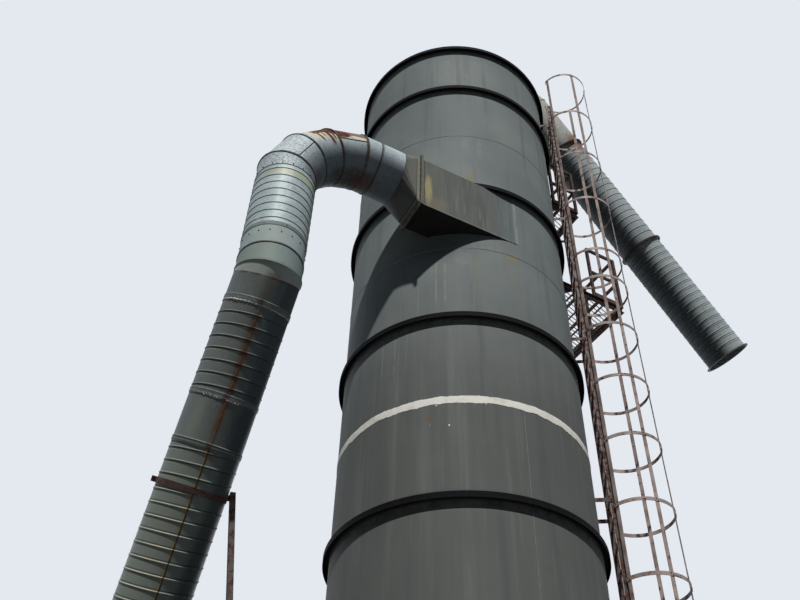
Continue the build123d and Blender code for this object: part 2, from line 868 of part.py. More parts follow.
for name, level, reach, gate_width in (
    ("landing", landing_height, landing_reach, rail_gate),
    ("upper_landing", upper_landing_height, upper_landing_reach, upper_rail_gate),
):
    save(f"{name}_frame", landing_beams(level, reach))
    save(f"{name}_grating", grating(level, reach))
    save(f"{name}_railing", railing(level, reach, gate_width))
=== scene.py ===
"""Round baghouse dust collector: its materials, small parts, light and camera. Metres, +Z up."""
import json
import math

import bmesh
import bpy
from mathutils import Matrix, Vector, noise


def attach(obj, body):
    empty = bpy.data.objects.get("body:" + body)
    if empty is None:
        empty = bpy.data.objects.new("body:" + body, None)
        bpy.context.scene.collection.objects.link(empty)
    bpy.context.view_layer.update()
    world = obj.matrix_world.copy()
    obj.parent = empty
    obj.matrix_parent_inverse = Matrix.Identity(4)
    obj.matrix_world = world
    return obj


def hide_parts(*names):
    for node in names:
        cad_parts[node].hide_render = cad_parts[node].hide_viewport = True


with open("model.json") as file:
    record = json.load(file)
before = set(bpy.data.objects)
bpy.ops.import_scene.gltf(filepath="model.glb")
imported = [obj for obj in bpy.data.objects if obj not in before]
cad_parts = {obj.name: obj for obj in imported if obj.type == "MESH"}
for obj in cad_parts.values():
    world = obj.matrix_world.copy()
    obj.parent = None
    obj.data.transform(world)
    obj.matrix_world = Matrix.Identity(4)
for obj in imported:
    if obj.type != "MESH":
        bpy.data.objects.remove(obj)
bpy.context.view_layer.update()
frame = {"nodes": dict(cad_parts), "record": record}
nodes = frame["nodes"]

# Tower
SHELL_RADIUS = 1.5
SHELL_BOTTOM = 5.24
SHELL_TOP = 15.0
COURSE_HEIGHT = 2.44
COURSE_COUNT = 4
RING_DEPTH = 0.07
RING_MIDDLES = [SHELL_BOTTOM + COURSE_HEIGHT * (index + 0.5) for index in range(COURSE_COUNT)]
SEAMS = [SHELL_BOTTOM + COURSE_HEIGHT * index for index in range(1, COURSE_COUNT)]
ROOF_FLAT_RADIUS = 1.44
ROOF_TOP = 15.006
ROOF_SLOPE = math.radians(8)
ROOF_BOLTS = 36
ROOF_BOLT_CIRCLE = 1.535
HOPPER_OUTLET_RADIUS = 0.25
HOPPER_BOTTOM = 3.075
HOPPER_LEAN = math.radians(30)
UPRIGHT_WELDS = ((-63, 57, 177), (-118, 2, 122), (-86.5, 33, 153), (-133, -13, 107))
INLET_WELD_BEARING = -86.5
BAND_STEPS = 720
# bearing, height, half length in degrees, half height
SEALANT_DROPS = (
    (-100.2, 7.615, 1.0, 0.007), (-79.6, 7.629, 0.7, 0.006), (-104.5, 7.62, 0.5, 0.005),
    (-90.0, 7.62, 0.4, 0.004), (-70.0, 7.63, 0.6, 0.005), (40.0, 7.62, 0.8, 0.006),
)

# Ducts
DUCT_RADIUS = 0.355
RIB_PITCH = 0.13
RIB_HEIGHT = 0.006
RIB_WIDTH = 0.018
FLANGE_BOLT_CIRCLE = DUCT_RADIUS + 0.029
FLANGE_PAIR_HALF = 0.0122
ELBOW_RADIUS = 1.067
ELBOW_MITRES = (11.25, 33.75, 56.25, 78.75)
DOWN = Vector((0, 0, -1))
UP = Vector((0, 0, 1))

# Inlet side: its frame has X away from the tower and Y towards the tangent plate
INLET_BEARING = math.radians(-148.5)
INLET_OUT = Vector((math.cos(INLET_BEARING), math.sin(INLET_BEARING), 0))
INLET_SIDE = Vector((-math.sin(INLET_BEARING), math.cos(INLET_BEARING), 0))
INLET_TANGENT = math.degrees(INLET_BEARING) + 90
INLET_WIDTH = 0.457
INLET_HEIGHT = 0.914
INLET_TOP = 11.3047
INLET_BOTTOM = INLET_TOP - INLET_HEIGHT
INLET_AXIS = SHELL_RADIUS - INLET_WIDTH / 2
INLET_REACH = 1.42
INLET_FLANGE_DEPTH = 0.022
GASKET_OVERHANG = 0.0365
INLET_BOLT_OFFSET = 0.024
TRANSITION_START = INLET_REACH + INLET_FLANGE_DEPTH
TRANSITION_END = 1.704
ROUND_AXIS = 1.25
ROUND_HEIGHT = 11.0
ELBOW_SPRING = 2.034
RISER_REACH = ELBOW_SPRING + ELBOW_RADIUS
RISER_TOP = ROUND_HEIGHT - ELBOW_RADIUS
RISER_RIB_TOP = 9.866
RISER_RIB_PITCH = 0.1238
RISER_RIBS = 9
RISER_LOW_LAP = 8.597
RISER_SCREWS = 18
RISER_SCREW_ROWS = ((9.967, -85.0), (8.783, -84.5))

# Slanting duct, measured from the corner of the bend
BEND_HEIGHT = 8.413
SLANT_HEADING = Vector((-0.29556, 0.43984, -0.84805))
SLANT_JOINTS = (0.35, 1.36, 1.86, 3.81)
SLANT_END = 7.71
SLANT_SEAM_ANGLE = 98
SLANT_SEAM_MARGINS = ((0.04, 0.04), (0.04, 0.03), (0.03, 0.02), (0.02, 0.03))
SLANT_FLANGES = (SLANT_JOINTS[3], SLANT_JOINTS[3] + 1.95)
# distance, from and to which angle, size
SEALANT_ROLLS = (
    (SLANT_JOINTS[0] + 0.036, 112, 190, 0.011), (SLANT_JOINTS[0] + 0.036, 190, 420, 0.007),
    (SLANT_JOINTS[0] + 0.036, 60, 112, 0.006), (SLANT_JOINTS[1] + 0.032, 78, 100, 0.009),
    (SLANT_JOINTS[1] + 0.032, 108, 138, 0.008), (SLANT_JOINTS[1] - 0.031, 230, 280, 0.007),
)
SLANT_RIB_SPANS = ((0.491, 1.31), (1.92, 2.25), (2.34, 3.76), (3.87, 7.66))
BAND_DISTANCE = 2.295
POST_DIRECTION = math.radians(23.7)

# Outlet side
NECK_FLANGE_LEVEL = 15.886
NECK_COLLAR_LEVEL = 15.172
NECK_COLLAR_CIRCLE = DUCT_RADIUS + 0.026
OUTLET_HEADING = Vector((0.50465, 0.30683, -0.80696))
OUTLET_ELBOW_END = Vector((1.64742, 1.00165, 16.52818))
OUTLET_JOINT = 0.9
OUTLET_SECTION = 2.44
OUTLET_RIB_START = 0.06
OUTLET_RIBS = 18

# Access
LADDER_BEARING = math.radians(-1.8)
LADDER_RADIUS = 1.679
LADDER_HALF_WIDTH = 0.225
LADDER_TOP = 15.1
RUNG_PITCH = 0.305
RUNG_HALF_LENGTH = 0.2155
CAGE_CENTRE = LADDER_RADIUS + 0.3
CAGE_RADIUS = 0.4
CAGE_STRAP_TURNS = (-134, -67, 0, 67, 134)
CAGE_BAR_WIDTH = 0.045
UPPER_HOOPS = [15.8 - 1.155 * index for index in range(5)]
LOWER_HOOPS = [10.62 - 0.885 * index for index in range(10)]
BRACKET_LEVELS = [14.5 - 2.44 * index for index in range(4)]
LANDING_BEARING = math.radians(32.7)
LANDING_NEAR = -0.607
LANDING_FAR = 0.893
BEAM_WIDTH = 0.045
GRATING_DEPTH = 0.03
GRATING_SHELL_GAP = 0.025
GRATING_PLANK = 0.27
GRATING_PITCH = 0.062
GRATING_SKEW = 15.5
PLANK_FLANGE = 0.005
SKEWED_BAR = 0.006
SHORTEST_BAR = 0.02
LANDINGS = {"landing": (11.3, 2.61), "upper_landing": (13.2, 2.02)}

# Stand
LEG_RADIUS = 1.55
LEG_SIDE = 0.2
LEG_BEARINGS = [math.radians(45 + 90 * index) for index in range(4)]
GIRDER_LOW = 4.94
BASE_PLATE_THICKNESS = 0.025


def inlet_point(reach, side, height):
    return INLET_OUT * reach + INLET_SIDE * side + UP * height


def slant_point(distance):
    return BEND_CORNER + SLANT_HEADING * distance


def outlet_point(distance):
    return OUTLET_ELBOW_END + OUTLET_HEADING * distance


def shell_point(bearing, height, radius=SHELL_RADIUS):
    """Point on the tower; the bearing is in degrees."""
    turn = math.radians(bearing)
    return Vector((radius * math.cos(turn), radius * math.sin(turn), height))


def turned_point(turn, out, side, height):
    """Point in a frame turned about the tower's axis."""
    x_axis = Vector((math.cos(turn), math.sin(turn), 0))
    y_axis = Vector((-math.sin(turn), math.cos(turn), 0))
    return x_axis * out + y_axis * side + UP * height


def ladder_point(out, side, height):
    return turned_point(LADDER_BEARING, out, side, height)


ELBOW_CENTRE = inlet_point(ELBOW_SPRING, ROUND_AXIS, RISER_TOP)
RISER_LINE = inlet_point(RISER_REACH, ROUND_AXIS, 0)
BEND_CORNER = inlet_point(RISER_REACH, ROUND_AXIS, BEND_HEIGHT)
# plane of the bend's upper mitre, which is only painted
GORE_CENTRE = Vector((-1.9685, -2.9005, 8.2147))
GORE_NORMAL = Vector((-0.2654, 0.529, -0.806))


# ---------------------------------------------------------------- mesh building

HOOP_SEGMENTS = 96
BAR_BEVEL = 0.08
SHARP_EDGE = math.radians(38)
# sides, then radius and height from the surface, as shares of the size
BOLT = (
    (14, ((0.98, -0.12), (0.98, 0.1), (0.9, 0.16))),
    (6, ((0.82, 0.15), (0.82, 0.72), (0.7, 0.84))),
    (10, ((0.42, 0.8), (0.42, 1.44), (0.34, 1.52))),
)
SCREW = (
    (10, ((1.0, -0.1), (1.0, 0.15), (0.8, 0.3))),
    (6, ((0.62, 0.25), (0.62, 0.85), (0.45, 1.0))),
)


def square_axes(axis):
    """Two unit vectors square to an axis and to each other."""
    first = axis.cross(UP)
    if first.length < 0.01:
        first = Vector((1, 0, 0))
    first.normalize()
    return first, axis.cross(first).normalized()


def square_to(axis, turn):
    """Unit vector square to an axis, at a turn round it."""
    first, second = square_axes(axis)
    return first * math.cos(turn) + second * math.sin(turn)


class Shape:
    """A mesh under construction, with its points in the tower's frame."""

    def __init__(self):
        self.mesh = bmesh.new()

    def loft(self, rows, closed_rows=True, closed_path=False, caps=False):
        """Skin over rows of points, each row as long as the next."""
        made = [[self.mesh.verts.new(point) for point in row] for row in rows]
        count = len(made[0])
        steps = count if closed_rows else count - 1
        spans = len(made) if closed_path else len(made) - 1
        for row in range(spans):
            here, there = made[row], made[(row + 1) % len(made)]
            for step in range(steps):
                after = (step + 1) % count
                self.mesh.faces.new((here[step], here[after], there[after], there[step]))
        if caps:
            self.mesh.faces.new(list(reversed(made[0])))
            self.mesh.faces.new(made[-1])

    def hoop(self, centre, axis, radius, profile, wobble=0.0):
        """Band round an axis; the profile gives (outward, along) pairs."""
        rows = []
        for index in range(HOOP_SEGMENTS):
            outward = square_to(axis, 2 * math.pi * index / HOOP_SEGMENTS)
            uneven = wobble * noise.noise((centre + outward * radius) * 40)
            rows.append([
                centre + outward * (radius + out + (uneven if out > 0 else 0)) + axis * along
                for out, along in profile
            ])
        self.loft(rows, closed_path=True)

    def bead(self, points, outwards, size, seed=0.0):
        """Bead along points, half round over the surface; its size is a width, a height and an unevenness."""
        width, height, wobble = size
        rows = []
        for index, point in enumerate(points):
            before = points[max(index - 1, 0)]
            after = points[min(index + 1, len(points) - 1)]
            outward = outwards[index]
            side = (after - before).cross(outward).normalized()
            swell = 1 + wobble * noise.noise(point * 55 + Vector((seed, 0, 0)))
            rows.append([
                point + side * (width / 2 * math.cos(turn) * swell)
                + outward * (height * math.sin(turn) * swell)
                for turn in (-0.35, 0.45, 1.05, math.pi / 2, 2.09, 2.69, math.pi + 0.35)
            ])
        self.loft(rows, caps=True)

    def seam(self, start, end, outward, steps, size, seed=0.0):
        """Straight bead between two points."""
        points = [start.lerp(end, step / steps) for step in range(steps + 1)]
        self.bead(points, [outward] * (steps + 1), size, seed)

    def bar(self, start, end, width, depth, side):
        """Bar of rectangular section with its edges broken."""
        run = (end - start).normalized()
        across = (side - run * side.dot(run)).normalized()
        thick = run.cross(across)
        cut = BAR_BEVEL * min(width, depth)
        half_w, half_d = width / 2, depth / 2
        section = [
            (half_w - cut, -half_d), (half_w, cut - half_d), (half_w, half_d - cut), (half_w - cut, half_d),
            (cut - half_w, half_d), (-half_w, half_d - cut), (-half_w, cut - half_d), (cut - half_w, -half_d),
        ]
        rows = [[end_point + across * a + thick * b for a, b in section] for end_point in (start, end)]
        self.loft(rows, caps=True)

    def spun(self, place, axis, profile, segments, turn=0.0):
        """Solid turned about an axis from (radius, height) pairs."""
        spokes = [square_to(axis, turn + 2 * math.pi * step / segments) for step in range(segments)]
        rows = [[place + axis * height + spoke * radius for spoke in spokes] for radius, height in profile]
        self.loft(rows, caps=True)

    def bolt(self, place, normal, size, parts=BOLT):
        """Bolt or screw from its turned parts; no two hexagons are turned alike."""
        for sides, profile in parts:
            turn = noise.noise(place * 31) * 3 if sides == 6 else 0.0
            sized = [(radius * size, height * size) for radius, height in profile]
            self.spun(place, normal, sized, sides, turn)

    def finish(self, name, slot, material=None, replaces=()):
        """Makes the object, smooth except at sharp edges, with its slot's material or another one."""
        bmesh.ops.recalc_face_normals(self.mesh, faces=self.mesh.faces)
        for face in self.mesh.faces:
            face.smooth = True
        for edge in self.mesh.edges:
            edge.smooth = len(edge.link_faces) == 2 and edge.calc_face_angle(0) < SHARP_EDGE
        data = bpy.data.meshes.new(name)
        self.mesh.to_mesh(data)
        self.mesh.free()
        made = bpy.data.objects.new(name, data)
        bpy.context.scene.collection.objects.link(made)
        data.materials.append(materials[material or slot])
        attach(made, "root")
        if replaces:
            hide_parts(*replaces)


# ---------------------------------------------------------------- materials

def colour(red, green, blue):
    """Linear colour from the bytes of a display colour."""
    def linear(value):
        value = value / 255
        return value / 12.92 if value <= 0.04045 else ((value + 0.055) / 1.055) ** 2.4
    return (linear(red), linear(green), linear(blue), 1.0)


def operator(operation, swapped=False):
    def work(self, other):
        first, second = (other, self) if swapped else (self, other)
        return self.graph.math(operation, first, second)
    return work


class Term:
    """A number worked out by a material's nodes."""

    def __init__(self, graph, socket):
        self.graph = graph
        self.socket = socket

    __add__ = __radd__ = operator("ADD")
    __sub__ = operator("SUBTRACT")
    __rsub__ = operator("SUBTRACT", swapped=True)
    __mul__ = operator("MULTIPLY")
    __truediv__ = operator("DIVIDE")


class Graph:
    """The nodes of one material, with the tower's frame as their coordinates."""

    def __init__(self, name):
        self.material = bpy.data.materials.new(name)
        self.material.use_nodes = True
        self.tree = self.material.node_tree
        self.shader = self.tree.nodes["Principled BSDF"]
        self.place = self.add("ShaderNodeTexCoord").outputs["Object"]
        split = self.add("ShaderNodeSeparateXYZ", {0: self.place})
        self.x, self.y, self.z = [Term(self, socket) for socket in split.outputs]

    def add(self, kind, inputs=None, **settings):
        node = self.tree.nodes.new(kind)
        for key, value in settings.items():
            setattr(node, key, value)
        for key, value in (inputs or {}).items():
            self.feed(node.inputs[key], value)
        return node

    def feed(self, socket, value):
        if isinstance(value, Term):
            self.tree.links.new(value.socket, socket)
        elif isinstance(value, bpy.types.NodeSocket):
            self.tree.links.new(value, socket)
        else:
            socket.default_value = value

    def math(self, operation, *values):
        node = self.add("ShaderNodeMath", dict(enumerate(values)), operation=operation)
        return Term(self, node.outputs[0])

    def vector(self, operation, first, second, output=0):
        node = self.add("ShaderNodeVectorMath", {0: first, 1: second}, operation=operation)
        return node.outputs[output]

    def noise(self, scale, stretch=(1, 1, 1), detail=4.0, roughness=0.55, offset=0.0):
        """Cloudy noise from 0 to 1; a small stretch value draws it out along that axis."""
        place = self.vector("MULTIPLY", self.place, stretch)
        place = self.vector("ADD", place, (offset, offset, offset))
        node = self.add("ShaderNodeTexNoise", {
            "Vector": place, "Scale": scale, "Detail": detail, "Roughness": roughness,
        })
        return Term(self, node.outputs[0])

    def cells(self, scale):
        """Random grey value for each crystal of a spangled surface."""
        node = self.add("ShaderNodeTexVoronoi", {"Vector": self.place, "Scale": scale})
        split = self.add("ShaderNodeSeparateXYZ", {0: node.outputs["Color"]})
        return Term(self, split.outputs[0])

    def ramp(self, value, low, high):
        """Rises smoothly from 0 at low to 1 at high; falls where low is above high."""
        start, end = (0.0, 1.0) if low < high else (1.0, 0.0)
        node = self.add("ShaderNodeMapRange", {
            0: value, 1: min(low, high), 2: max(low, high), 3: start, 4: end,
        }, interpolation_type="SMOOTHSTEP")
        return Term(self, node.outputs[0])

    def mix(self, factor, first, second):
        """Colour between two, each a socket or the bytes of a display colour."""
        first, second = [colour(*tone) if isinstance(tone, tuple) else tone for tone in (first, second)]
        return self.add("ShaderNodeMix", {0: factor, 6: first, 7: second}, data_type="RGBA").outputs[2]

    def coat(self, cover, tone):
        """Lays a colour over the material where the cover is 1."""
        self.base = self.mix(cover, self.base, tone)

    def limit(self, value):
        return self.math("MINIMUM", self.math("MAXIMUM", value, 0.0), 1.0)

    def bearing(self):
        """Bearing about the tower's axis in degrees."""
        return self.math("ARCTAN2", self.y, self.x) * DEGREES

    def along(self, origin, axis):
        """Distance from a point along an axis."""
        offset = self.vector("SUBTRACT", self.place, tuple(origin))
        return Term(self, self.vector("DOT_PRODUCT", offset, tuple(axis), "Value"))

    def around(self, origin, axis):
        """Angle about an axis in degrees."""
        first, second = square_axes(axis)
        return self.math("ARCTAN2", self.along(origin, second), self.along(origin, first)) * DEGREES

    def tint(self, value, low, high, strength, tone):
        """Lays a colour over the material more and more from low to high."""
        self.coat(self.ramp(value, low, high) * strength, tone)

    def span(self, value, start, full, ease, end):
        """Rises from start to full and falls from ease to end."""
        return self.ramp(value, start, full) * self.ramp(value, end, ease)

    def stripe(self, value, middle, half_width, soft=0.5):
        """1 on a line of the given half width, fading to 0 outside it."""
        gap = self.math("ABSOLUTE", value - middle)
        return self.ramp(gap, half_width * (1 + soft), half_width * (1 - soft))

    def patch(self, u, v, box, ragged, soft=0.35):
        """1 inside (u, v, half u, half v), with an edge that a ragged value breaks up."""
        centre_u, centre_v, half_u, half_v = box
        across = (u - centre_u) / half_u
        down = (v - centre_v) / half_v
        reach = self.math("SQRT", across * across + down * down)
        return self.ramp(reach + (ragged - 0.5) * RAGGEDNESS, 1 + soft, 1 - soft)

    def spot(self, centre, radius, ragged):
        """1 near a point of the tower's frame, with an edge that a ragged value breaks up."""
        offset = self.vector("SUBTRACT", self.place, tuple(centre))
        reach = Term(self, self.vector("LENGTH", offset, (0, 0, 0), "Value")) / radius
        return self.ramp(reach + (ragged - 0.5) * RAGGEDNESS, 1.5, 0.5)

    def repeat(self, value, pitch, start):
        """Distance from the nearest of evenly spaced places, positive past it."""
        steps = (value - start) / pitch + 0.5
        return (self.math("FRACT", steps) - 0.5) * pitch

    def finish(self, roughness, metallic=0.0, height=None, distance=0.002, strength=0.3, specular=0.5):
        self.feed(self.shader.inputs["Base Color"], self.base)
        self.feed(self.shader.inputs["Roughness"], roughness)
        self.feed(self.shader.inputs["Metallic"], metallic)
        self.shader.inputs["Specular IOR Level"].default_value = specular
        if height is not None:
            bump = self.add("ShaderNodeBump", {"Strength": strength, "Distance": distance, "Height": height})
            self.feed(self.shader.inputs["Normal"], bump.outputs[0])
        return self.material


DEGREES = 180 / math.pi
RUST_DARK = (58, 27, 18)
RUST_RED = (98, 42, 24)
RUST_ORANGE = (140, 82, 40)
OCHRE = (150, 132, 74)
DUST = (160, 164, 158)
SOOT = (16, 17, 20)
RAGGEDNESS = 1.6
# bearing, top, bottom, half width in degrees, strength, colour
SHELL_STREAKS = (
    (-100.0, 9.95, 8.95, 0.35, 0.55, DUST), (-95.8, 9.85, 8.95, 0.5, 0.4, DUST),
    (-108.7, 9.5, 8.95, 0.3, 0.3, DUST), (-98.0, 9.9, 9.2, 1.3, 0.25, (120, 118, 106)),
    (-127.0, 8.85, 8.1, 0.35, 0.35, DUST), (-120.0, 8.85, 8.0, 0.35, 0.35, DUST),
    (-114.0, 8.85, 8.2, 0.25, 0.2, DUST), (-89.6, 14.9, 13.9, 0.18, 0.45, OCHRE),
    (-86.7, 14.9, 13.9, 0.18, 0.4, OCHRE), (-92.0, 14.66, 14.5, 0.9, 0.35, DUST),
    (-77.2, 9.95, 9.5, 0.25, 0.35, OCHRE), (-79.6, 9.95, 9.2, 0.3, 0.35, OCHRE),
    (-82.0, 9.95, 9.4, 1.2, 0.25, (134, 126, 96)), (-66.0, 10.3, 9.5, 1.6, 0.3, (130, 124, 98)),
    (-60.5, 10.3, 9.4, 0.5, 0.3, OCHRE), (-133.0, 14.95, 14.0, 0.2, 0.35, DUST),
    (-60.0, 8.86, 8.5, 0.5, 0.35, (126, 128, 96)), (-84.0, 12.5, 12.1, 2.2, 0.25, DUST),
    (-76.0, 12.5, 12.0, 1.2, 0.2, DUST), (-81.5, 11.75, 11.3, 1.6, 0.3, OCHRE),
    (20.0, 12.4, 11.5, 0.4, 0.3, DUST), (75.0, 10.0, 8.9, 0.4, 0.35, DUST),
    (128.0, 12.5, 11.4, 0.5, 0.3, OCHRE), (171.0, 10.0, 9.1, 0.5, 0.35, DUST),
)
# bearing, height, half width in degrees, half height, strength, colour
SHELL_SPOTS = (
    (-94.9, 7.345, 0.35, 0.012, 1.0, (235, 235, 230)), (-102.7, 7.373, 0.25, 0.008, 0.9, DUST),
    (-103.6, 7.456, 0.9, 0.03, 0.6, (134, 88, 50)), (-91.6, 8.843, 0.4, 0.012, 0.8, DUST),
    (-88.0, 8.84, 0.4, 0.012, 0.8, DUST), (-75.9, 8.823, 0.5, 0.02, 0.5, OCHRE),
    (-82.9, 11.54, 1.4, 0.05, 0.5, OCHRE), (-62.2, 10.07, 2.6, 0.08, 0.45, OCHRE),
    # the wide pale patch at bearing -87.5, below the inlet, is dust with a painted sheen
    (-87.5, 9.93, 4.5, 0.12, 0.35, (150, 154, 150)), (-81.0, 14.2, 1.2, 0.04, 0.2, DUST),
    (-92.3, 14.28, 0.9, 0.02, 0.5, DUST), (-94.0, 14.62, 0.8, 0.015, 0.45, DUST),
)


def shell_material():
    g = Graph("shell_paint")
    bearing = g.bearing()
    cloud = g.noise(0.9, detail=5)
    fine = g.noise(9, detail=6, roughness=0.65)
    streak = g.noise(7, (1, 1, 0.05), detail=5, offset=3)
    thin_streak = g.noise(26, (1, 1, 0.03), detail=3, offset=9)
    g.base = g.mix(g.ramp(cloud, 0.35, 0.68), (121, 129, 130), (135, 143, 142))
    g.tint(g.z, 10.2, 7.4, 0.8, (92, 93, 91))
    g.tint(streak, 0.5, 0.75, 0.35, (130, 135, 132))
    g.tint(streak, 0.46, 0.25, 0.35, (72, 78, 82))
    g.tint(thin_streak, 0.6, 0.8, 0.22, (138, 140, 132))
    g.tint(fine, 0.6, 0.85, 0.25, (66, 71, 74))
    # dust and dirt under the rings and on the seams
    under_ring = g.repeat(g.z, COURSE_HEIGHT, RING_MIDDLES[0])
    below = g.span(under_ring, -0.16, -0.04, -0.036, 0.0)
    g.coat(below * g.ramp(fine, 0.3, 0.7) * 0.7, DUST)
    above = g.span(under_ring, 0.0, 0.036, 0.036, 0.12)
    g.coat(above * 0.55, (52, 54, 54))
    drip_length = g.noise(11, (1, 1, 0.01), detail=3, offset=21)
    drip = g.ramp(drip_length, 0.6, 0.72) * g.span(under_ring, -0.75, -0.1, -0.036, 0.0)
    g.coat(drip * 0.3, (128, 124, 104))
    seam = g.repeat(g.z, COURSE_HEIGHT, SEAMS[0])
    on_seam = g.stripe(seam, 0.0, 0.012) * g.ramp(fine, 0.4, 0.6)
    g.coat(on_seam * 0.5, (134, 134, 126))
    under_seam = g.span(seam, -0.14, -0.01, -0.01, 0.0)
    g.coat(under_seam * g.ramp(thin_streak, 0.5, 0.7) * 0.5, (132, 131, 120))
    for middle, high, low, half, strength, tone in SHELL_STREAKS:
        length = g.span(g.z, low, low + 0.4 * (high - low), high - 0.03, high + 0.02)
        line = g.stripe(bearing, middle, half, 0.7) * length * g.ramp(fine, 0.25, 0.6)
        g.coat(line * strength, tone)
    ragged = g.noise(22, detail=3, offset=5)
    for middle, height, half, tall, strength, tone in SHELL_SPOTS:
        g.coat(g.patch(bearing, g.z, (middle, height, half, tall), ragged) * strength, tone)
    # painted shade: a darker patch just below the inlet
    inlet_shade_patch = g.patch(bearing, g.z, (-102, 10.15, 17, 0.22), ragged, 0.9)
    g.coat(inlet_shade_patch * 0.4, (62, 64, 64))
    roughness = 0.62 + cloud * 0.1 - g.ramp(streak, 0.5, 0.8) * 0.06
    swell = g.noise(1.1, detail=2) * 6 + g.noise(4, (1, 1, 0.6), detail=2) * 0.5 + fine * 0.04
    return g.finish(roughness, height=swell, distance=0.004, strength=0.5, specular=0.08)


def ring_material():
    g = Graph("ring_paint")
    fine = g.noise(16, detail=5)
    streak = g.noise(12, (1, 1, 0.2))
    g.base = g.mix(g.ramp(fine, 0.4, 0.7), (14, 14, 17), (24, 24, 26))
    g.tint(streak, 0.6, 0.8, 0.3, (48, 44, 40))
    return g.finish(0.6 + fine * 0.25, height=fine, specular=0.05)


def inlet_material():
    g = Graph("inlet_paint")
    reach = g.along((0, 0, 0), INLET_OUT)
    fine = g.noise(10, detail=6, roughness=0.65)
    pale_streak = g.noise(34, (1, 1, 0.04), detail=3)
    dark_streak = g.noise(34, (1, 1, 0.05), detail=3, offset=6)
    wide = g.noise(4.5, (1, 1, 0.15), offset=4)
    g.base = g.mix(g.ramp(wide, 0.35, 0.65), (100, 103, 101), (114, 118, 115))
    g.tint(reach, 0.5, 0.05, 0.7, (110, 124, 126))
    g.tint(reach, 1.0, 1.4, 0.5, (106, 104, 94))
    g.tint(pale_streak, 0.55, 0.75, 0.5, (142, 144, 134))
    g.tint(dark_streak, 0.56, 0.76, 0.45, (70, 72, 70))
    ragged = g.noise(9, (1, 1, 0.3), offset=2)
    stain = g.patch(reach, g.z, (1.322, 10.73, 0.05, 0.3), ragged)
    g.coat(stain * 0.8, (176, 168, 124))
    faint = g.patch(reach, g.z, (1.2, 10.52, 0.17, 0.13), ragged, 0.6)
    g.coat(faint * 0.4, (142, 136, 110))
    for place, high, half in ((0.9, 10.95, 0.02), (0.78, 10.86, 0.014), (0.55, 10.9, 0.02)):
        line = g.stripe(reach, place, half, 0.8) * g.span(g.z, 10.5, 10.6, high - 0.2, high)
        g.coat(line * 0.4, (138, 140, 130))
    # the transition is darker, most of all at its round end
    g.tint(reach, TRANSITION_START, TRANSITION_START + 0.03, 0.6, (134, 136, 130))
    g.tint(reach, TRANSITION_START + 0.16, TRANSITION_END, 0.35, (70, 72, 74))
    rust = g.ramp(fine, 0.62, 0.8) * g.ramp(reach, 1.5, 1.7)
    g.coat(rust * 0.4, RUST_RED)
    # angle legs of the flanges, lying on the box and on the transition
    box_leg = g.span(reach, INLET_REACH - 0.042, INLET_REACH - 0.038, INLET_REACH - 0.006, INLET_REACH)
    g.coat(box_leg * 0.8, (122, 122, 112))
    past = reach - TRANSITION_START
    above = g.z - INLET_BOTTOM
    far_leg = g.span(past, 0.0, 0.006, 0.045, 0.05) * g.ramp(above, 0.02, 0.04)
    g.coat(far_leg * 0.85, (164, 162, 138))
    for edge in (INLET_REACH - 0.044, TRANSITION_START + 0.052):
        g.coat(g.stripe(reach, edge, 0.005) * 0.8, (40, 40, 38))
    edge = g.ramp(above, 0.04, 0.01) * g.ramp(reach, INLET_REACH, INLET_REACH - 0.03)
    g.coat(edge * g.ramp(fine, 0.3, 0.6) * 0.7, (146, 144, 132))
    # painted shade: the underside of the box near black
    painted_underside_shade = g.ramp(above, 0.004, 0.001) * g.ramp(reach, INLET_REACH + 0.01, INLET_REACH)
    g.coat(painted_underside_shade * 0.9, (26, 26, 27))
    return g.finish(0.6 + wide * 0.12, height=fine, specular=0.08)


def zinc(g, light, dark, spangle, contrast):
    """Weathered zinc: spangle, clouds and fine scratches. Returns the clouds and the spangle."""
    cloud = g.noise(3.2, detail=5)
    cell = g.cells(spangle)
    small = g.noise(40, offset=7)
    g.base = g.mix(g.ramp(cloud, 0.3, 0.7), dark, light)
    g.coat(g.ramp(cell, 0.3, 1.0) * contrast, (204, 214, 220))
    g.coat(g.ramp(cell, 0.3, 0.0) * contrast, (84, 98, 108))
    g.tint(small, 0.55, 0.8, 0.2, (120, 122, 118))
    return cloud, cell


def finish_zinc(g, roughness, height, metallic, specular):
    return g.finish(roughness, metallic, height, distance=0.001, strength=0.15, specular=specular)


def rib_lines(g, offset, rib_shadow_tone, strength=0.75, pale_strength=0.4):
    """Dark line under each rib, a painted shadow, and a pale one past it; the offset is from the nearest rib.
    """
    dark = g.stripe(offset, 0.011, 0.006, 0.5)
    pale = g.stripe(offset, 0.023, 0.007, 0.6)
    broken = g.ramp(g.noise(6, detail=3, offset=12), 0.25, 0.6)
    g.coat(pale * broken * pale_strength, (196, 190, 164))
    g.coat(dark * strength, rib_shadow_tone)


def riser_material():
    g = Graph("riser_zinc")
    cloud, cell = zinc(g, (180, 196, 198), (154, 172, 176), 42.0, 0.22)
    down = RISER_RIB_TOP - g.z
    ribbed = g.span(down, -0.05, -0.03, (RISER_RIBS - 0.5) * RISER_RIB_PITCH, RISER_RIBS * RISER_RIB_PITCH)
    offset = g.repeat(down, RISER_RIB_PITCH, 0.0) + (1 - ribbed)
    rib_lines(g, offset, (66, 74, 78))
    ragged = g.noise(14, (1, 1, 0.4), offset=6)
    yellow = g.patch(g.along(RISER_LINE, INLET_SIDE), g.z, (0.33, 9.81, 0.2, 0.035), ragged, 0.5)
    g.coat(yellow * 0.5, (186, 176, 112))
    seam = g.stripe(g.around(RISER_LINE, UP), 120, 2.0)
    g.coat(seam * 0.3, (110, 112, 104))
    streak = g.noise(16, (1, 1, 0.06), detail=3, offset=17)
    g.tint(streak, 0.56, 0.76, 0.3, (206, 212, 210))
    return finish_zinc(g, 0.52 + cloud * 0.1, cell + cloud * 3, metallic=0.1, specular=0.3)


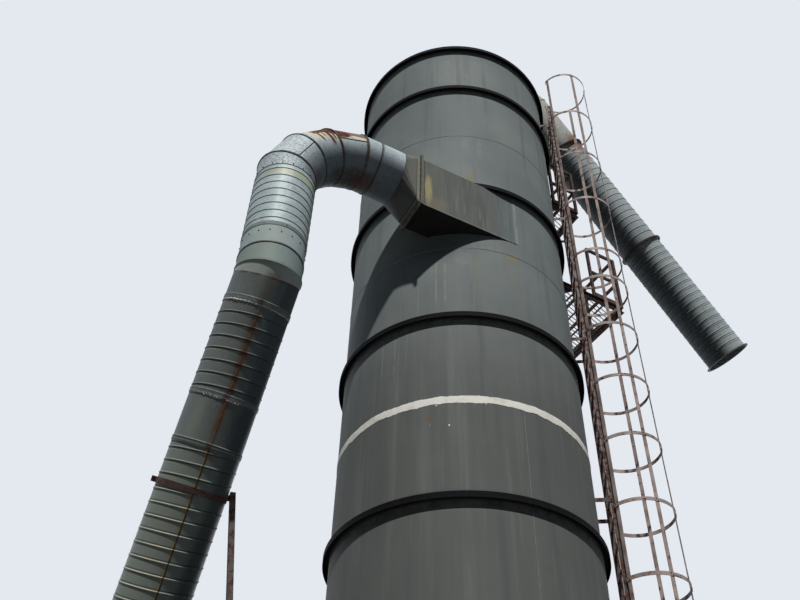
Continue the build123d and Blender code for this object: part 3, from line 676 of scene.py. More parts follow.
def elbow_material():
    g = Graph("elbow_zinc")
    cloud, cell = zinc(g, (190, 204, 210), (160, 176, 184), 48.0, 0.3)
    flecks = g.cells(75.0)
    streak = g.noise(22, detail=3, offset=5)
    g.tint(streak, 0.6, 0.85, 0.25, (120, 122, 116))
    rise, reach, across = [g.along(ELBOW_CENTRE, axis) for axis in (UP, INLET_OUT, INLET_SIDE)]
    turn = g.math("ARCTAN2", reach, rise) * DEGREES
    top = g.math("SQRT", rise * rise + reach * reach) - ELBOW_RADIUS
    ragged = g.noise(13, detail=5, roughness=0.65, offset=3)
    # dirt and rust beside each mitre seam
    for place, (half, strength, tone) in zip((*ELBOW_MITRES, -1.0), (
        (2.6, 0.7, RUST_DARK), (2.2, 0.7, RUST_DARK), (1.2, 0.5, SOOT), (1.2, 0.5, SOOT),
        (1.4, 0.6, RUST_DARK),
    )):
        line = g.stripe(turn, place, half * 0.5, 0.9)
        g.coat(line * strength * g.ramp(ragged, 0.25, 0.5), tone)
        halo = g.stripe(turn, place, half * 1.8, 0.95) * g.ramp(ragged, 0.5, 0.7)
        g.coat(halo * 0.35, (196, 176, 130))
    # spangle stands out most on the two gores next to the riser
    bright = g.ramp(turn, 54, 58) * g.ramp(top, -0.3, 0.0)
    g.coat(bright * g.ramp(flecks, 0.6, 0.75) * 0.5, (226, 232, 232))
    g.coat(bright * g.ramp(flecks, 0.25, 0.12) * 0.55, (96, 106, 108))
    # rust along the top, with drips down the near side, and cream stains below it
    uneven_turn = turn + (ragged - 0.5) * 22
    heavy = g.span(uneven_turn, 21, 25, 46, 51) * g.ramp(across, -0.3, -0.1)
    edge = top - g.ramp(turn, 30, 42) * 0.12 - 0.02 + (ragged - 0.5) * 0.14
    stained = g.ramp(edge, -0.2, -0.03) * g.span(turn, 30, 35, 48, 56)
    g.coat(stained * g.ramp(across, -0.1, 0.1) * 0.7, (214, 204, 158))
    # outer half of the second gore: a cream stain with a painted highlight on its lit top
    top_stain_and_painted_highlight = g.ramp(top, -0.02, 0.0) * g.span(turn, 11, 12.5, 32, 33.5)
    g.coat(top_stain_and_painted_highlight * 0.8, (222, 216, 190))
    rust = g.ramp(edge, -0.01, 0.02) * heavy
    for place, half, low in ((46.5, 0.8, -0.02), (43.0, 0.6, 0.05), (39.5, 1.3, -0.09), (36.5, 0.7, -0.02)):
        drip = g.stripe(turn, place, half, 0.7) * g.span(top, low - 0.03, low + 0.05, 0.25, 0.3)
        rust = g.math("MAXIMUM", rust, drip)
    brow = g.ramp(top + (ragged - 0.5) * 0.03, 0.075, 0.095) * g.span(turn, 9, 11, 26, 30)
    rust = g.math("MAXIMUM", rust, brow * 0.8)
    g.coat(rust, g.mix(g.ramp(ragged, 0.4, 0.6), (110, 44, 26), RUST_DARK))
    # rust and moss on the belly
    belly = g.ramp(top, -0.29, -0.335) * g.span(turn, -4, 6, 40, 56) * g.ramp(ragged, 0.35, 0.5)
    g.coat(belly * 0.85, g.mix(g.ramp(turn, 18, 26), (124, 66, 34), (104, 98, 56)))
    g.coat(g.spot((-1.19, -2.16, 10.66), 0.13, ragged) * 0.8, (150, 86, 46))
    g.coat(g.spot((-1.66, -2.6, 10.05), 0.2, ragged) * 0.5, RUST_ORANGE)
    # painted shade: the inner, lower half of the elbow darker and bluer
    g.tint(top, 0.02, -0.2, 0.62, (70, 80, 88))
    return finish_zinc(g, 0.56 + cloud * 0.12 + rust * 0.2, cell + ragged * 2, metallic=0.06, specular=0.2)


def slant_material():
    g = Graph("slant_zinc")
    distance = g.along(BEND_CORNER, SLANT_HEADING)
    angle = g.around(BEND_CORNER, SLANT_HEADING)
    cloud, cell = zinc(g, (118, 130, 132), (100, 112, 116), 36.0, 0.07)
    # painted reflection of the sky: the near left side bluish and lighter
    left_sky_reflection = g.stripe(angle, 158, 22, 0.7)
    g.coat(left_sky_reflection * 0.4, (134, 150, 160))
    g.tint(distance, 1.6, 2.3, 0.75, (158, 170, 162))
    # painted shade: the far right side darker and bluer
    far_side_shade = g.ramp(angle, 82, 60) * g.ramp(angle, -150, -120)
    g.coat(far_side_shade * 0.7, (66, 72, 82))
    mitre = g.along(BEND_CORNER, (SLANT_HEADING + DOWN).normalized())
    gore = g.along(GORE_CENTRE, GORE_NORMAL)
    # painted light: between the modelled mitre and the painted one, the shaded underside of the bend is near
    # white; above the modelled mitre the gore has its own greenish tone
    upper = g.ramp(mitre, 0.003, -0.003)
    gore_tone_and_painted_light = g.mix(upper, (212, 226, 220), (136, 154, 152))
    gore_tone_and_painted_light = g.mix(g.ramp(g.z, 8.59, 8.605), gore_tone_and_painted_light, (170, 186, 186))
    g.tint(gore, 0.006, -0.006, 0.9, gore_tone_and_painted_light)
    streak = g.noise(9, offset=5)
    g.tint(streak, 0.5, 0.75, 0.2, (100, 106, 100))
    g.coat(g.stripe(angle, 136, 42, 0.9) * 0.35, (146, 148, 134))
    first = g.span(distance, 0.4, 0.42, 1.32, 1.34)
    later = g.ramp(distance, 1.9, 1.92)
    wound = distance - (angle - 90) * (RIB_PITCH / 360)
    offset = g.repeat(wound, RIB_PITCH, SLANT_RIB_SPANS[0][0])
    later_offset = g.repeat(wound, RIB_PITCH, SLANT_RIB_SPANS[1][0])
    lit_side = g.ramp(angle, 84, 112)
    rib_lines(g, offset + (1 - first), (40, 44, 46), 0.8, lit_side * 0.8)
    rib_lines(g, later_offset + (1 - later), (44, 48, 48), 0.7, lit_side * 0.7)
    ragged = g.noise(15, offset=4)
    # rust that runs down the lowest line of the duct
    wander = (g.noise(2.2, detail=2, offset=30) - 0.5) * 7
    line = g.stripe(angle + wander, SLANT_SEAM_ANGLE, 4.5, 0.8) * g.span(distance, 0.38, 0.6, 1.6, 2.1)
    g.coat(line * g.ramp(ragged, 0.2, 0.55) * 0.85, (120, 74, 44))
    wide = g.stripe(angle + wander, SLANT_SEAM_ANGLE, 9, 0.9) * g.span(distance, 0.3, 0.7, 1.5, 2.2)
    g.coat(wide * 0.35, (112, 92, 68))
    knots = line * g.stripe(offset, 0.012, 0.022, 0.7) * first
    g.coat(knots * 0.85, RUST_DARK)
    brown = g.stripe(angle, 95, 9, 0.9) * g.span(distance, 0.0, 0.04, 0.3, 0.36)
    g.coat(brown * 0.5, (98, 84, 68))
    seam = g.stripe(angle, SLANT_SEAM_ANGLE, 1.1, 0.5) * g.ramp(distance, 1.87, 1.9)
    side = g.stripe(angle, SLANT_SEAM_ANGLE + 2.6, 1.8, 0.8) * g.ramp(distance, 1.87, 1.9)
    g.coat(side * g.ramp(ragged, 0.3, 0.6) * 0.8, (176, 146, 78))
    g.coat(seam * 0.9, (34, 24, 20))
    band = g.stripe(angle, 136, 10, 0.9) * g.span(distance, 1.4, 1.45, 1.8, 1.86)
    g.coat(band * 0.4, (164, 166, 148))
    band = g.stripe(angle, 71, 4, 0.9) * g.span(distance, 0.06, 0.1, 0.3, 0.36)
    g.coat(band * 0.35, (146, 156, 158))
    # rust spots and shadow line under the mitre of the bend
    under = g.span(gore, -0.008, 0.0, 0.0, 0.03)
    g.coat(under * g.ramp(ragged, 0.35, 0.6) * 0.8, RUST_RED)
    line = g.stripe(g.around(RISER_LINE, UP), 57, 1.6, 0.8)
    line = line * g.ramp(mitre, -0.4, -0.3) * g.ramp(gore, 0.01, -0.02)
    g.coat(line * g.ramp(ragged, 0.3, 0.55) * 0.7, (150, 134, 72))
    return finish_zinc(g, 0.58 + cloud * 0.12, cell * 0.3 + cloud * 3, metallic=0.03, specular=0.14)


def outlet_material():
    g = Graph("outlet_zinc")
    distance = g.along(OUTLET_ELBOW_END, OUTLET_HEADING)
    cloud, cell = zinc(g, (182, 192, 194), (160, 172, 176), 44.0, 0.15)
    angle = g.around(OUTLET_ELBOW_END, OUTLET_HEADING)
    # painted shade: the lower left side of the duct darker
    painted_underside_shade = g.span(angle, 38, 74, 150, 178) * g.ramp(distance, 0.0, 0.2)
    g.coat(painted_underside_shade * 0.75, (48, 54, 60))
    ribbed = g.ramp(distance, OUTLET_JOINT + 0.04, OUTLET_JOINT + 0.05)
    offset = g.repeat(distance, RIB_PITCH, OUTLET_JOINT + OUTLET_RIB_START)
    rib_lines(g, offset + (1 - ribbed), (70, 76, 78))
    ragged = g.noise(12, offset=4)
    cream = g.ramp(distance, 0.9, 0.7) * g.ramp(ragged, 0.3, 0.6)
    g.coat(cream * 0.5, (206, 198, 164))
    rust = g.stripe(distance, OUTLET_JOINT, 0.12, 0.9) * g.ramp(ragged, 0.45, 0.62)
    g.coat(rust * 0.7, RUST_RED)
    spot = g.spot(outlet_point(OUTLET_JOINT) + Vector((0.22, -0.28, 0.0)), 0.2, ragged)
    g.coat(spot * 0.85, RUST_ORANGE)
    streak = g.noise(9, offset=15)
    g.tint(streak, 0.52, 0.75, 0.3, (112, 118, 116))
    return finish_zinc(g, 0.56 + cloud * 0.12, cell + cloud * 3, metallic=0.03, specular=0.14)


def rusty_material(name, paint, dark, orange, amount, scale):
    """Old paint that gives way to rust in patches and at random flecks."""
    g = Graph(name)
    cloud = g.noise(scale * 0.35)
    fleck = g.noise(scale * 2.4, detail=6, roughness=0.7, offset=3)
    worn = g.noise(scale, detail=6, roughness=0.68, offset=11)
    g.base = g.mix(g.ramp(cloud, 0.35, 0.65), paint, g.mix(0.5, paint, dark))
    rust = g.ramp(worn, 0.66 - amount * 0.4, 0.74 - amount * 0.4)
    tone = g.mix(g.ramp(fleck, 0.4, 0.65), dark, orange)
    g.coat(rust, tone)
    g.tint(fleck, 0.68, 0.85, 0.5, (20, 16, 15))
    roughness = 0.5 + rust * 0.3 + fleck * 0.1
    return g.finish(roughness, height=fleck + rust * 0.8, distance=0.0015, strength=0.5, specular=0.3)


def sealant_material():
    g = Graph("white_sealant")
    fine = g.noise(30, detail=5, roughness=0.6)
    cloud = g.noise(5, offset=3)
    g.base = g.mix(g.ramp(cloud, 0.4, 0.75), (244, 244, 236), (220, 219, 208))
    g.tint(fine, 0.6, 0.8, 0.35, (160, 158, 146))
    g.tint(cloud, 0.68, 0.82, 0.4, (188, 172, 134))
    return g.finish(0.7 + fine * 0.15, height=fine + cloud, distance=0.004, strength=0.6, specular=0.3)


def lap_band_material():
    """Lap bands of dull zinc, dark at their edges, with thin broken lines of old sealant."""
    g = Graph("lap_bands")
    distance = g.along(BEND_CORNER, SLANT_HEADING)
    angle = g.around(BEND_CORNER, SLANT_HEADING)
    zinc(g, (126, 136, 134), (104, 114, 114), 36.0, 0.07)
    ragged = g.noise(24, detail=5, roughness=0.7, offset=2)
    fine = g.noise(60, detail=3, offset=9)
    pale = (226, 224, 214)
    lit_side = g.ramp(angle, 70, 120)
    first = g.stripe(distance + (ragged - 0.5) * 0.012, SLANT_JOINTS[0] + 0.03, 0.008, 0.5)
    g.coat(first * (0.55 + lit_side * 0.45), pale)
    flake = g.stripe(distance, SLANT_JOINTS[0], 0.04, 0.3) * g.ramp(ragged, 0.56, 0.62) * lit_side
    g.coat(flake * 0.8, (188, 184, 170))
    second = g.stripe(distance, SLANT_JOINTS[1] + 0.024, 0.012, 0.5) * g.ramp(ragged, 0.42, 0.5)
    span = g.stripe(angle, 116, 40, 0.5)
    g.coat(second * span, pale)
    third = g.stripe(distance, SLANT_JOINTS[2] + 0.02, 0.006, 0.5)
    g.coat(third * (0.3 + lit_side * 0.6), (204, 196, 172))
    for place in SLANT_JOINTS[:3]:
        dark = g.stripe(distance, place - 0.012, 0.007, 0.5) + g.stripe(distance, place + 0.018, 0.006, 0.5)
        g.coat(g.limit(dark) * (0.85 if place == SLANT_JOINTS[2] else 0.35), (30, 30, 31))
    rust = g.stripe(angle, SLANT_SEAM_ANGLE + 2, 5, 0.8) * g.ramp(fine, 0.25, 0.5)
    g.coat(rust * 0.8, RUST_DARK)
    return g.finish(
        0.6 + fine * 0.2, metallic=0.1, height=ragged * 2 + fine, distance=0.003, strength=0.4, specular=0.2,
    )


def stand_material():
    g = Graph("stand_paint")
    cloud = g.noise(1.6, detail=5)
    fine = g.noise(18, detail=6, roughness=0.65)
    streak = g.noise(12, (1, 1, 0.06), offset=4)
    g.base = g.mix(g.ramp(cloud, 0.35, 0.65), (80, 85, 89), (98, 102, 104))
    g.tint(streak, 0.55, 0.75, 0.35, (122, 124, 118))
    rust = g.ramp(fine, 0.66, 0.76) + g.ramp(g.z, 0.35, 0.0) * g.ramp(fine, 0.45, 0.6)
    g.coat(g.limit(rust) * 0.8, g.mix(g.ramp(cloud, 0.4, 0.6), RUST_RED, RUST_DARK))
    splash = g.ramp(g.z, 0.6, 0.0) * 0.5
    g.coat(splash * g.ramp(cloud, 0.3, 0.6), (128, 120, 104))
    return g.finish(0.48 + fine * 0.2, height=fine + cloud * 2, specular=0.35)


# paint, dark rust, bright rust, share that is rusted, scale
RUSTY = {
    "flange_steel": ((74, 66, 62), RUST_DARK, (108, 62, 40), 0.35, 14.0),
    "rusty_steel": ((62, 46, 42), (44, 28, 24), (104, 62, 46), 0.45, 14.0),
    "cage_paint": ((174, 158, 152), (70, 46, 40), (128, 88, 70), 0.28, 14.0),
    "grating_steel": ((78, 74, 74), (50, 38, 36), (96, 66, 54), 0.35, 14.0),
    "weld_metal": ((108, 112, 110), (84, 84, 80), (124, 122, 112), 0.08, 30.0),
    "pale_weld": ((150, 158, 156), (112, 114, 108), (140, 136, 120), 0.12, 40.0),
    "rust_seam": ((38, 28, 25), (30, 18, 14), (74, 36, 24), 0.4, 20.0),
    "dark_seam": ((44, 48, 50), (28, 27, 27), (62, 52, 45), 0.2, 20.0),
    "bolt_steel": ((88, 82, 78), (40, 26, 22), (96, 54, 38), 0.4, 30.0),
}
materials = {
    "shell_paint": shell_material(),
    "ring_paint": ring_material(),
    "inlet_paint": inlet_material(),
    "galvanised_spangled": outlet_material(),
    "galvanised_weathered": slant_material(),
    "joint_sealant": lap_band_material(),
    "stand_paint": stand_material(),
    "riser_zinc": riser_material(),
    "elbow_zinc": elbow_material(),
    "white_sealant": sealant_material(),
    **{name: rusty_material(name, *tones) for name, tones in RUSTY.items()},
}
NODE_MATERIALS = {"riser_duct": "riser_zinc", "inlet_elbow": "elbow_zinc"}


def dress_nodes():
    """Gives every node of the model the material of its slot, or its own."""
    for entry in frame["record"]["subparts"]:
        node = nodes[entry["node"]]
        material = materials[NODE_MATERIALS.get(entry["node"], entry["material_slot"])]
        if not node.material_slots:
            node.data.materials.append(material)
        for holder in node.material_slots:
            holder.material = material


# ---------------------------------------------------------------- small parts

RIB_SECTION = (
    (-0.001, -0.5), (0.45, -0.42), (0.9, -0.2), (1.0, 0.0), (0.9, 0.2), (0.45, 0.42), (-0.001, 0.5),
)
RIB_PROFILE = [(out * RIB_HEIGHT, along * RIB_WIDTH) for out, along in RIB_SECTION]
RIB_UNEVENNESS = 0.001
SPIRAL_STEPS = 90
SEAM_LIFT = 0.0085
DUCT_BOLT = 0.009
INLET_BOLT = 0.0105
LANDING_BOLT = 0.011
CAGE_BOLT = 0.007
BEAD_EDGE = 0.001
WELD_STEP = 0.02
SEAM_STEP = 0.03
# width, height and unevenness of the beads
GIRTH_WELD = (0.013, 0.0035, 0.5)
UPRIGHT_WELD = (0.011, 0.003, 0.5)
TANGENT_WELD = (0.01, 0.003, 0.5)
TANGENT_PATCH = (0.009, 0.003, 0.7)
INLET_END_WELD = (0.012, 0.005, 0.5)
INLET_EDGE_WELD = (0.006, 0.0025, 0.6)
GASKET_CAULK = (0.012, 0.006, 0.7)
DARK_LAP = (0.016, 0.004, 0.1)
RUSTY_LAP = (0.024, 0.005, 0.1)
SLANT_LOCK_SEAM = (0.012, 0.004, 0.3)
LUG_WELD = (0.009, 0.005, 0.4)
LEG_WELD = (0.01, 0.005, 0.5)
HOPPER_WELD = (0.012, 0.004, 0.5)
HOPPER_GIRTH_WELD = (0.012, 0.004, 0.4)
HOPPER_OUTLET_WELD = (0.012, 0.006, 0.4)
ROOF_LAP = (0.03, 0.005, 0.05)
ROOF_EDGE_WELD = (0.014, 0.004, 0.4)


def ring_ribs(name, centres, axis, material):
    shape = Shape()
    for centre in centres:
        shape.hoop(centre, axis, DUCT_RADIUS, RIB_PROFILE, RIB_UNEVENNESS)
    shape.finish(name, "galvanised_spangled", material)


def spiral_rib(name, start, end):
    """One rib wound round the slanting duct between two distances, lower on its left side."""
    shape = Shape()
    steps = int((end - start) / RIB_PITCH * SPIRAL_STEPS)
    rows = []
    for step in range(steps + 1):
        place = start + (end - start) * step / steps
        outward = square_to(SLANT_HEADING, math.pi / 2 + 2 * math.pi * (place - start) / RIB_PITCH)
        uneven = RIB_UNEVENNESS * noise.noise(slant_point(place) * 40)
        rows.append([
            slant_point(place + along) + outward * (DUCT_RADIUS + out + (uneven if out > 0 else 0))
            for out, along in RIB_PROFILE
        ])
    shape.loft(rows, caps=True)
    shape.finish(name, "galvanised_weathered")


def duct_ribs():
    centres = [RISER_LINE + UP * (RISER_RIB_TOP - RISER_RIB_PITCH * index) for index in range(RISER_RIBS)]
    ring_ribs("riser_ribs", centres, DOWN, "riser_zinc")
    for index, (start, end) in enumerate(SLANT_RIB_SPANS):
        spiral_rib(f"slant_rib_{index + 1}", start, end)
    for index in range(2):
        start = OUTLET_JOINT + OUTLET_SECTION * index + OUTLET_RIB_START
        centres = [outlet_point(start + RIB_PITCH * step) for step in range(OUTLET_RIBS)]
        ring_ribs(f"outlet_duct_{index + 1}_ribs", centres, OUTLET_HEADING, "galvanised_spangled")


def seam_profile(width, height):
    half = width / 2
    return [
        (-0.002, -half), (height * 0.8, -half), (height, -half * 0.7),
        (height, half * 0.7), (height * 0.8, half), (-0.002, half),
    ]


def elbow_gore(mitre):
    """Point on the elbow's line and its direction, at a mitre of the polygon."""
    turn = math.radians(mitre)
    out = INLET_OUT * math.sin(turn) + UP * math.cos(turn)
    radius = ELBOW_RADIUS / math.cos(math.radians(ELBOW_MITRES[0]))
    return ELBOW_CENTRE + out * radius, INLET_OUT * math.cos(turn) - UP * math.sin(turn)


def elbow_seams():
    """Caps over the standing seams of the inlet elbow, the two next to the inlet rusted."""
    for name, material, mitres, widths, height, wobble in (
        ("elbow_rusty_seams", "rust_seam", ELBOW_MITRES[:2], (0.03, 0.026), 0.004, 0.0015),
        ("elbow_dark_seams", "dark_seam", ELBOW_MITRES[2:], (0.019, 0.019), 0.003, 0.001),
    ):
        shape = Shape()
        for mitre, width in zip(mitres, widths):
            corner, heading = elbow_gore(mitre)
            shape.hoop(corner, heading, DUCT_RADIUS + SEAM_LIFT, seam_profile(width, height), wobble)
        shape.finish(name, "galvanised_spangled", material)


def gore_lap(shape, mitres, size):
    """Straight lap along one gore, on the side away from the tower."""
    start, end = [elbow_gore(mitre)[0] + INLET_SIDE * DUCT_RADIUS for mitre in mitres]
    shape.seam(start, end, INLET_SIDE, 24, size)


def lock_seams():
    """Laps of the elbow and the riser, and the seam down the slanting duct."""
    shape = Shape()
    gore_lap(shape, ELBOW_MITRES[2:], DARK_LAP)
    shape.finish("elbow_dark_lap", "galvanised_spangled", "dark_seam")
    shape = Shape()
    gore_lap(shape, ELBOW_MITRES[:2], RUSTY_LAP)
    mouth = inlet_point(ELBOW_SPRING, ROUND_AXIS, ROUND_HEIGHT)
    shape.hoop(mouth, INLET_OUT, DUCT_RADIUS, seam_profile(0.018, 0.006), 0.001)
    shape.finish("elbow_rusty_lap", "galvanised_spangled", "rust_seam")
    shape = Shape()
    shape.hoop(RISER_LINE + UP * RISER_LOW_LAP, DOWN, DUCT_RADIUS, seam_profile(0.02, 0.007), 0.001)
    shape.hoop(RISER_LINE + UP * (RISER_TOP + 0.004), DOWN, DUCT_RADIUS, seam_profile(0.012, 0.004))
    shape.finish("riser_laps", "galvanised_weathered", "dark_seam")
    shape = Shape()
    outward = square_to(SLANT_HEADING, math.radians(SLANT_SEAM_ANGLE))
    ends = (*SLANT_JOINTS, SLANT_END)
    for index, (after, before) in enumerate(SLANT_SEAM_MARGINS):
        low, high = ends[index] + after, ends[index + 1] - before
        start, end = [slant_point(place) + outward * DUCT_RADIUS for place in (low, high)]
        shape.seam(start, end, outward, int((high - low) / SEAM_STEP), SLANT_LOCK_SEAM)
    shape.finish("slant_lock_seam", "galvanised_weathered")


def riser_screws():
    shape = Shape()
    for height, start in RISER_SCREW_ROWS:
        for index in range(RISER_SCREWS):
            outward = shell_point(start + 360 * index / RISER_SCREWS, 0, 1)
            level = height + 0.008 * noise.noise(Vector((index, height, 0.5)) * 1.7)
            shape.bolt(RISER_LINE + outward * DUCT_RADIUS + UP * level, outward, DUCT_BOLT, SCREW)
    shape.finish("riser_screws", "flange_steel", "bolt_steel")


def ring_bolts(
    shape, centre, axis, circle=FLANGE_BOLT_CIRCLE, count=16, sides=(-1, 1), lift=FLANGE_PAIR_HALF,
):
    """Bolts round an axis, on one side or both."""
    for index in range(count):
        outward = square_to(axis, 2 * math.pi * index / count)
        for side in sides:
            shape.bolt(centre + outward * circle + axis * (lift * side), axis * side, DUCT_BOLT)


def duct_flange_bolts():
    shape = Shape()
    for place in SLANT_FLANGES:
        ring_bolts(shape, slant_point(place), SLANT_HEADING)
    shape.finish("slant_flange_bolts", "flange_steel", "bolt_steel")
    shape = Shape()
    for index in range(2):
        ring_bolts(shape, outlet_point(OUTLET_JOINT + OUTLET_SECTION * index), OUTLET_HEADING)
    ring_bolts(shape, UP * NECK_FLANGE_LEVEL, UP)
    ring_bolts(shape, UP * NECK_COLLAR_LEVEL, UP, NECK_COLLAR_CIRCLE, 12, (1,), 0.0)
    shape.finish("outlet_flange_bolts", "flange_steel", "bolt_steel")


def inlet_flange_bolts():
    """Bolts round both faces of the inlet flanges, and caulk squeezed from the gasket."""
    shape = Shape()
    middle = INLET_TOP - INLET_HEIGHT / 2
    half_height = INLET_HEIGHT / 2 + INLET_BOLT_OFFSET
    half_width = INLET_WIDTH / 2 + INLET_BOLT_OFFSET
    places = [(sign * half_width, half_height * (2 * row / 7 - 1)) for row in range(8) for sign in (1, -1)]
    places += [(half_width * (row / 2 - 1), sign * half_height) for row in range(1, 4) for sign in (1, -1)]
    for side, height in places:
        for reach, normal in ((INLET_REACH, -INLET_OUT), (TRANSITION_START, INLET_OUT)):
            shape.bolt(inlet_point(reach, INLET_AXIS + side, middle + height), normal, INLET_BOLT)
    shape.finish("inlet_flange_bolts", "flange_steel", "bolt_steel")
    shape = Shape()
    reach = INLET_REACH + INLET_FLANGE_DEPTH / 2
    half_height = INLET_HEIGHT / 2 + GASKET_OVERHANG
    half_width = INLET_WIDTH / 2 + GASKET_OVERHANG
    corners = [
        inlet_point(reach, INLET_AXIS + side * half_width, middle + up * half_height)
        for side, up in ((1, 1), (1, -1), (-1, -1), (-1, 1))
    ]
    for index, outward in enumerate((INLET_SIDE, DOWN, -INLET_SIDE, UP)):
        shape.seam(corners[index], corners[(index + 1) % 4], outward, 40, GASKET_CAULK)
    shape.finish("inlet_flange_caulk", "inlet_paint", "cage_paint")


def girth_path(height, step, radius=SHELL_RADIUS):
    """Points and outward directions round the tower; the step is in degrees."""
    count = int(360 / step)
    bearings = [360 * index / count for index in range(count + 1)]
    points = [shell_point(bearing, height, radius) for bearing in bearings]
    return points, [shell_point(bearing, 0, 1) for bearing in bearings]


def shell_welds():
    """Girth and upright welds of the rolled plates."""
    shape = Shape()
    for height in SEAMS[1:]:
        points, outwards = girth_path(height, 0.75)
        shape.bead(points, outwards, GIRTH_WELD, height)
    gap = RING_DEPTH / 2 + 0.002
    for index, bearings in enumerate(UPRIGHT_WELDS):
        low = SHELL_BOTTOM + COURSE_HEIGHT * index + 0.01
        high = min(low + COURSE_HEIGHT - 0.02, SHELL_TOP - RING_DEPTH - 0.002)
        ring = RING_MIDDLES[index]
        for bearing in bearings:
            for start, end in ((low, ring - gap), (ring + gap, high)):
                if bearing == INLET_WELD_BEARING and start < INLET_TOP:
                    continue
                shape.seam(
                    shell_point(bearing, start), shell_point(bearing, end), shell_point(bearing, 0, 1),
                    int((end - start) / WELD_STEP), UPRIGHT_WELD, bearing,
                )
    shape.finish("shell_welds", "shell_paint", "weld_metal")


def inlet_welds():
    """Pale weld down the tangent line, and the welds above and below the box."""
    shape = Shape()
    start, end = [shell_point(INLET_TANGENT, height) for height in (INLET_BOTTOM, INLET_TOP)]
    shape.seam(start, end, shell_point(INLET_TANGENT, 0, 1), 50, TANGENT_WELD)
    for shares in ((0.0, 0.36), (0.55, 0.9)):
        heights = [INLET_BOTTOM + INLET_HEIGHT * share for share in shares]
        start, end = [inlet_point(-0.02, SHELL_RADIUS, height) for height in heights]
        shape.seam(start, end, INLET_SIDE, 20, TANGENT_PATCH, 4)
    shape.finish("inlet_tangent_weld", "inlet_paint", "pale_weld")
    shape = Shape()
    start = math.degrees(math.asin((INLET_AXIS - INLET_WIDTH / 2) / SHELL_RADIUS))
    bearings = [INLET_TANGENT - (90 - start) * (1 - step / 60) for step in range(61)]
    for height, lift in ((INLET_BOTTOM, -1), (INLET_TOP, 1)):
        points = [shell_point(bearing, height) for bearing in bearings]
        outwards = [shell_point(bearing, lift, 1).normalized() for bearing in bearings]
        shape.bead(points, outwards, INLET_END_WELD, lift)
    for height, lift in ((INLET_BOTTOM + 0.0012, -1), (INLET_TOP - 0.0012, 1)):
        start, end = [inlet_point(reach, SHELL_RADIUS - 0.0012, height) for reach in (0.0, 1.4)]
        shape.seam(start, end, (INLET_SIDE + UP * lift).normalized(), 60, INLET_EDGE_WELD, 2)
    shape.finish("inlet_welds", "inlet_paint")


def white_band():
    """Uneven band of sealant painted over the lowest seam that shows, and drops of it."""
    shape = Shape()
    rows = []
    for index in range(BAND_STEPS):
        bearing = 360 * index / BAND_STEPS
        spot = shell_point(bearing, 0, 1)
        slow = 0.014 * noise.noise(spot * 3.1)
        high = SEAMS[0] + 0.052 + slow + 0.010 * noise.noise(spot * 17 + Vector((5, 0, 0)))
        high += 0.005 * noise.noise(spot * 60 + Vector((0, 9, 0)))
        low = SEAMS[0] - 0.050 + slow - 0.016 * noise.noise(spot * 14 + Vector((0, 0, 7)))
        low -= 0.007 * noise.noise(spot * 52 + Vector((3, 0, 0)))
        thick = 0.005 + 0.002 * noise.noise(spot * 30)
        rows.append([
            shell_point(bearing, height, SHELL_RADIUS + out) for height, out in (
                (low, -BEAD_EDGE), (low + 0.003, thick * 0.7), ((high + low) / 2, thick),
                (high - 0.003, thick * 0.7), (high, -BEAD_EDGE),
            )
        ])
    shape.loft(rows, closed_path=True)
    shape.finish("white_sealed_band", "joint_sealant", "white_sealant")
    shape = Shape()
    for bearing, height, long, tall in SEALANT_DROPS:
        rows = []
        for step in range(13):
            place = bearing + long * (step / 6 - 1)
            uneven = 1 + 0.4 * noise.noise(Vector((place, height, 0)))
            wide = tall * math.sin(math.pi * (step + 0.4) / 12.8) * uneven
            rows.append([
                shell_point(place, height + up, SHELL_RADIUS + out)
                for up, out in ((-wide, -BEAD_EDGE / 2), (0, 0.003), (wide, -BEAD_EDGE / 2))
            ])
        shape.loft(rows, caps=True)
    shape.finish("white_sealant_drops", "joint_sealant", "white_sealant")


def joint_sealant():
    """Ragged rolls of sealant at the edges of the lap bands."""
    shape = Shape()
    for place, start, end, size in SEALANT_ROLLS:
        steps = int((end - start) / 2)
        turns = [math.radians(start + (end - start) * step / steps) for step in range(steps + 1)]
        outwards = [square_to(SLANT_HEADING, turn) for turn in turns]
        sways = [0.008 * noise.noise(outward * 6 + Vector((place, 0, 0))) for outward in outwards]
        points = [
            slant_point(place + sway) + outward * DUCT_RADIUS for sway, outward in zip(sways, outwards)
        ]
        shape.bead(points, outwards, (2 * size, 0.7 * size, 0.9), place)
    shape.finish("joint_sealant_rolls", "joint_sealant", "white_sealant")


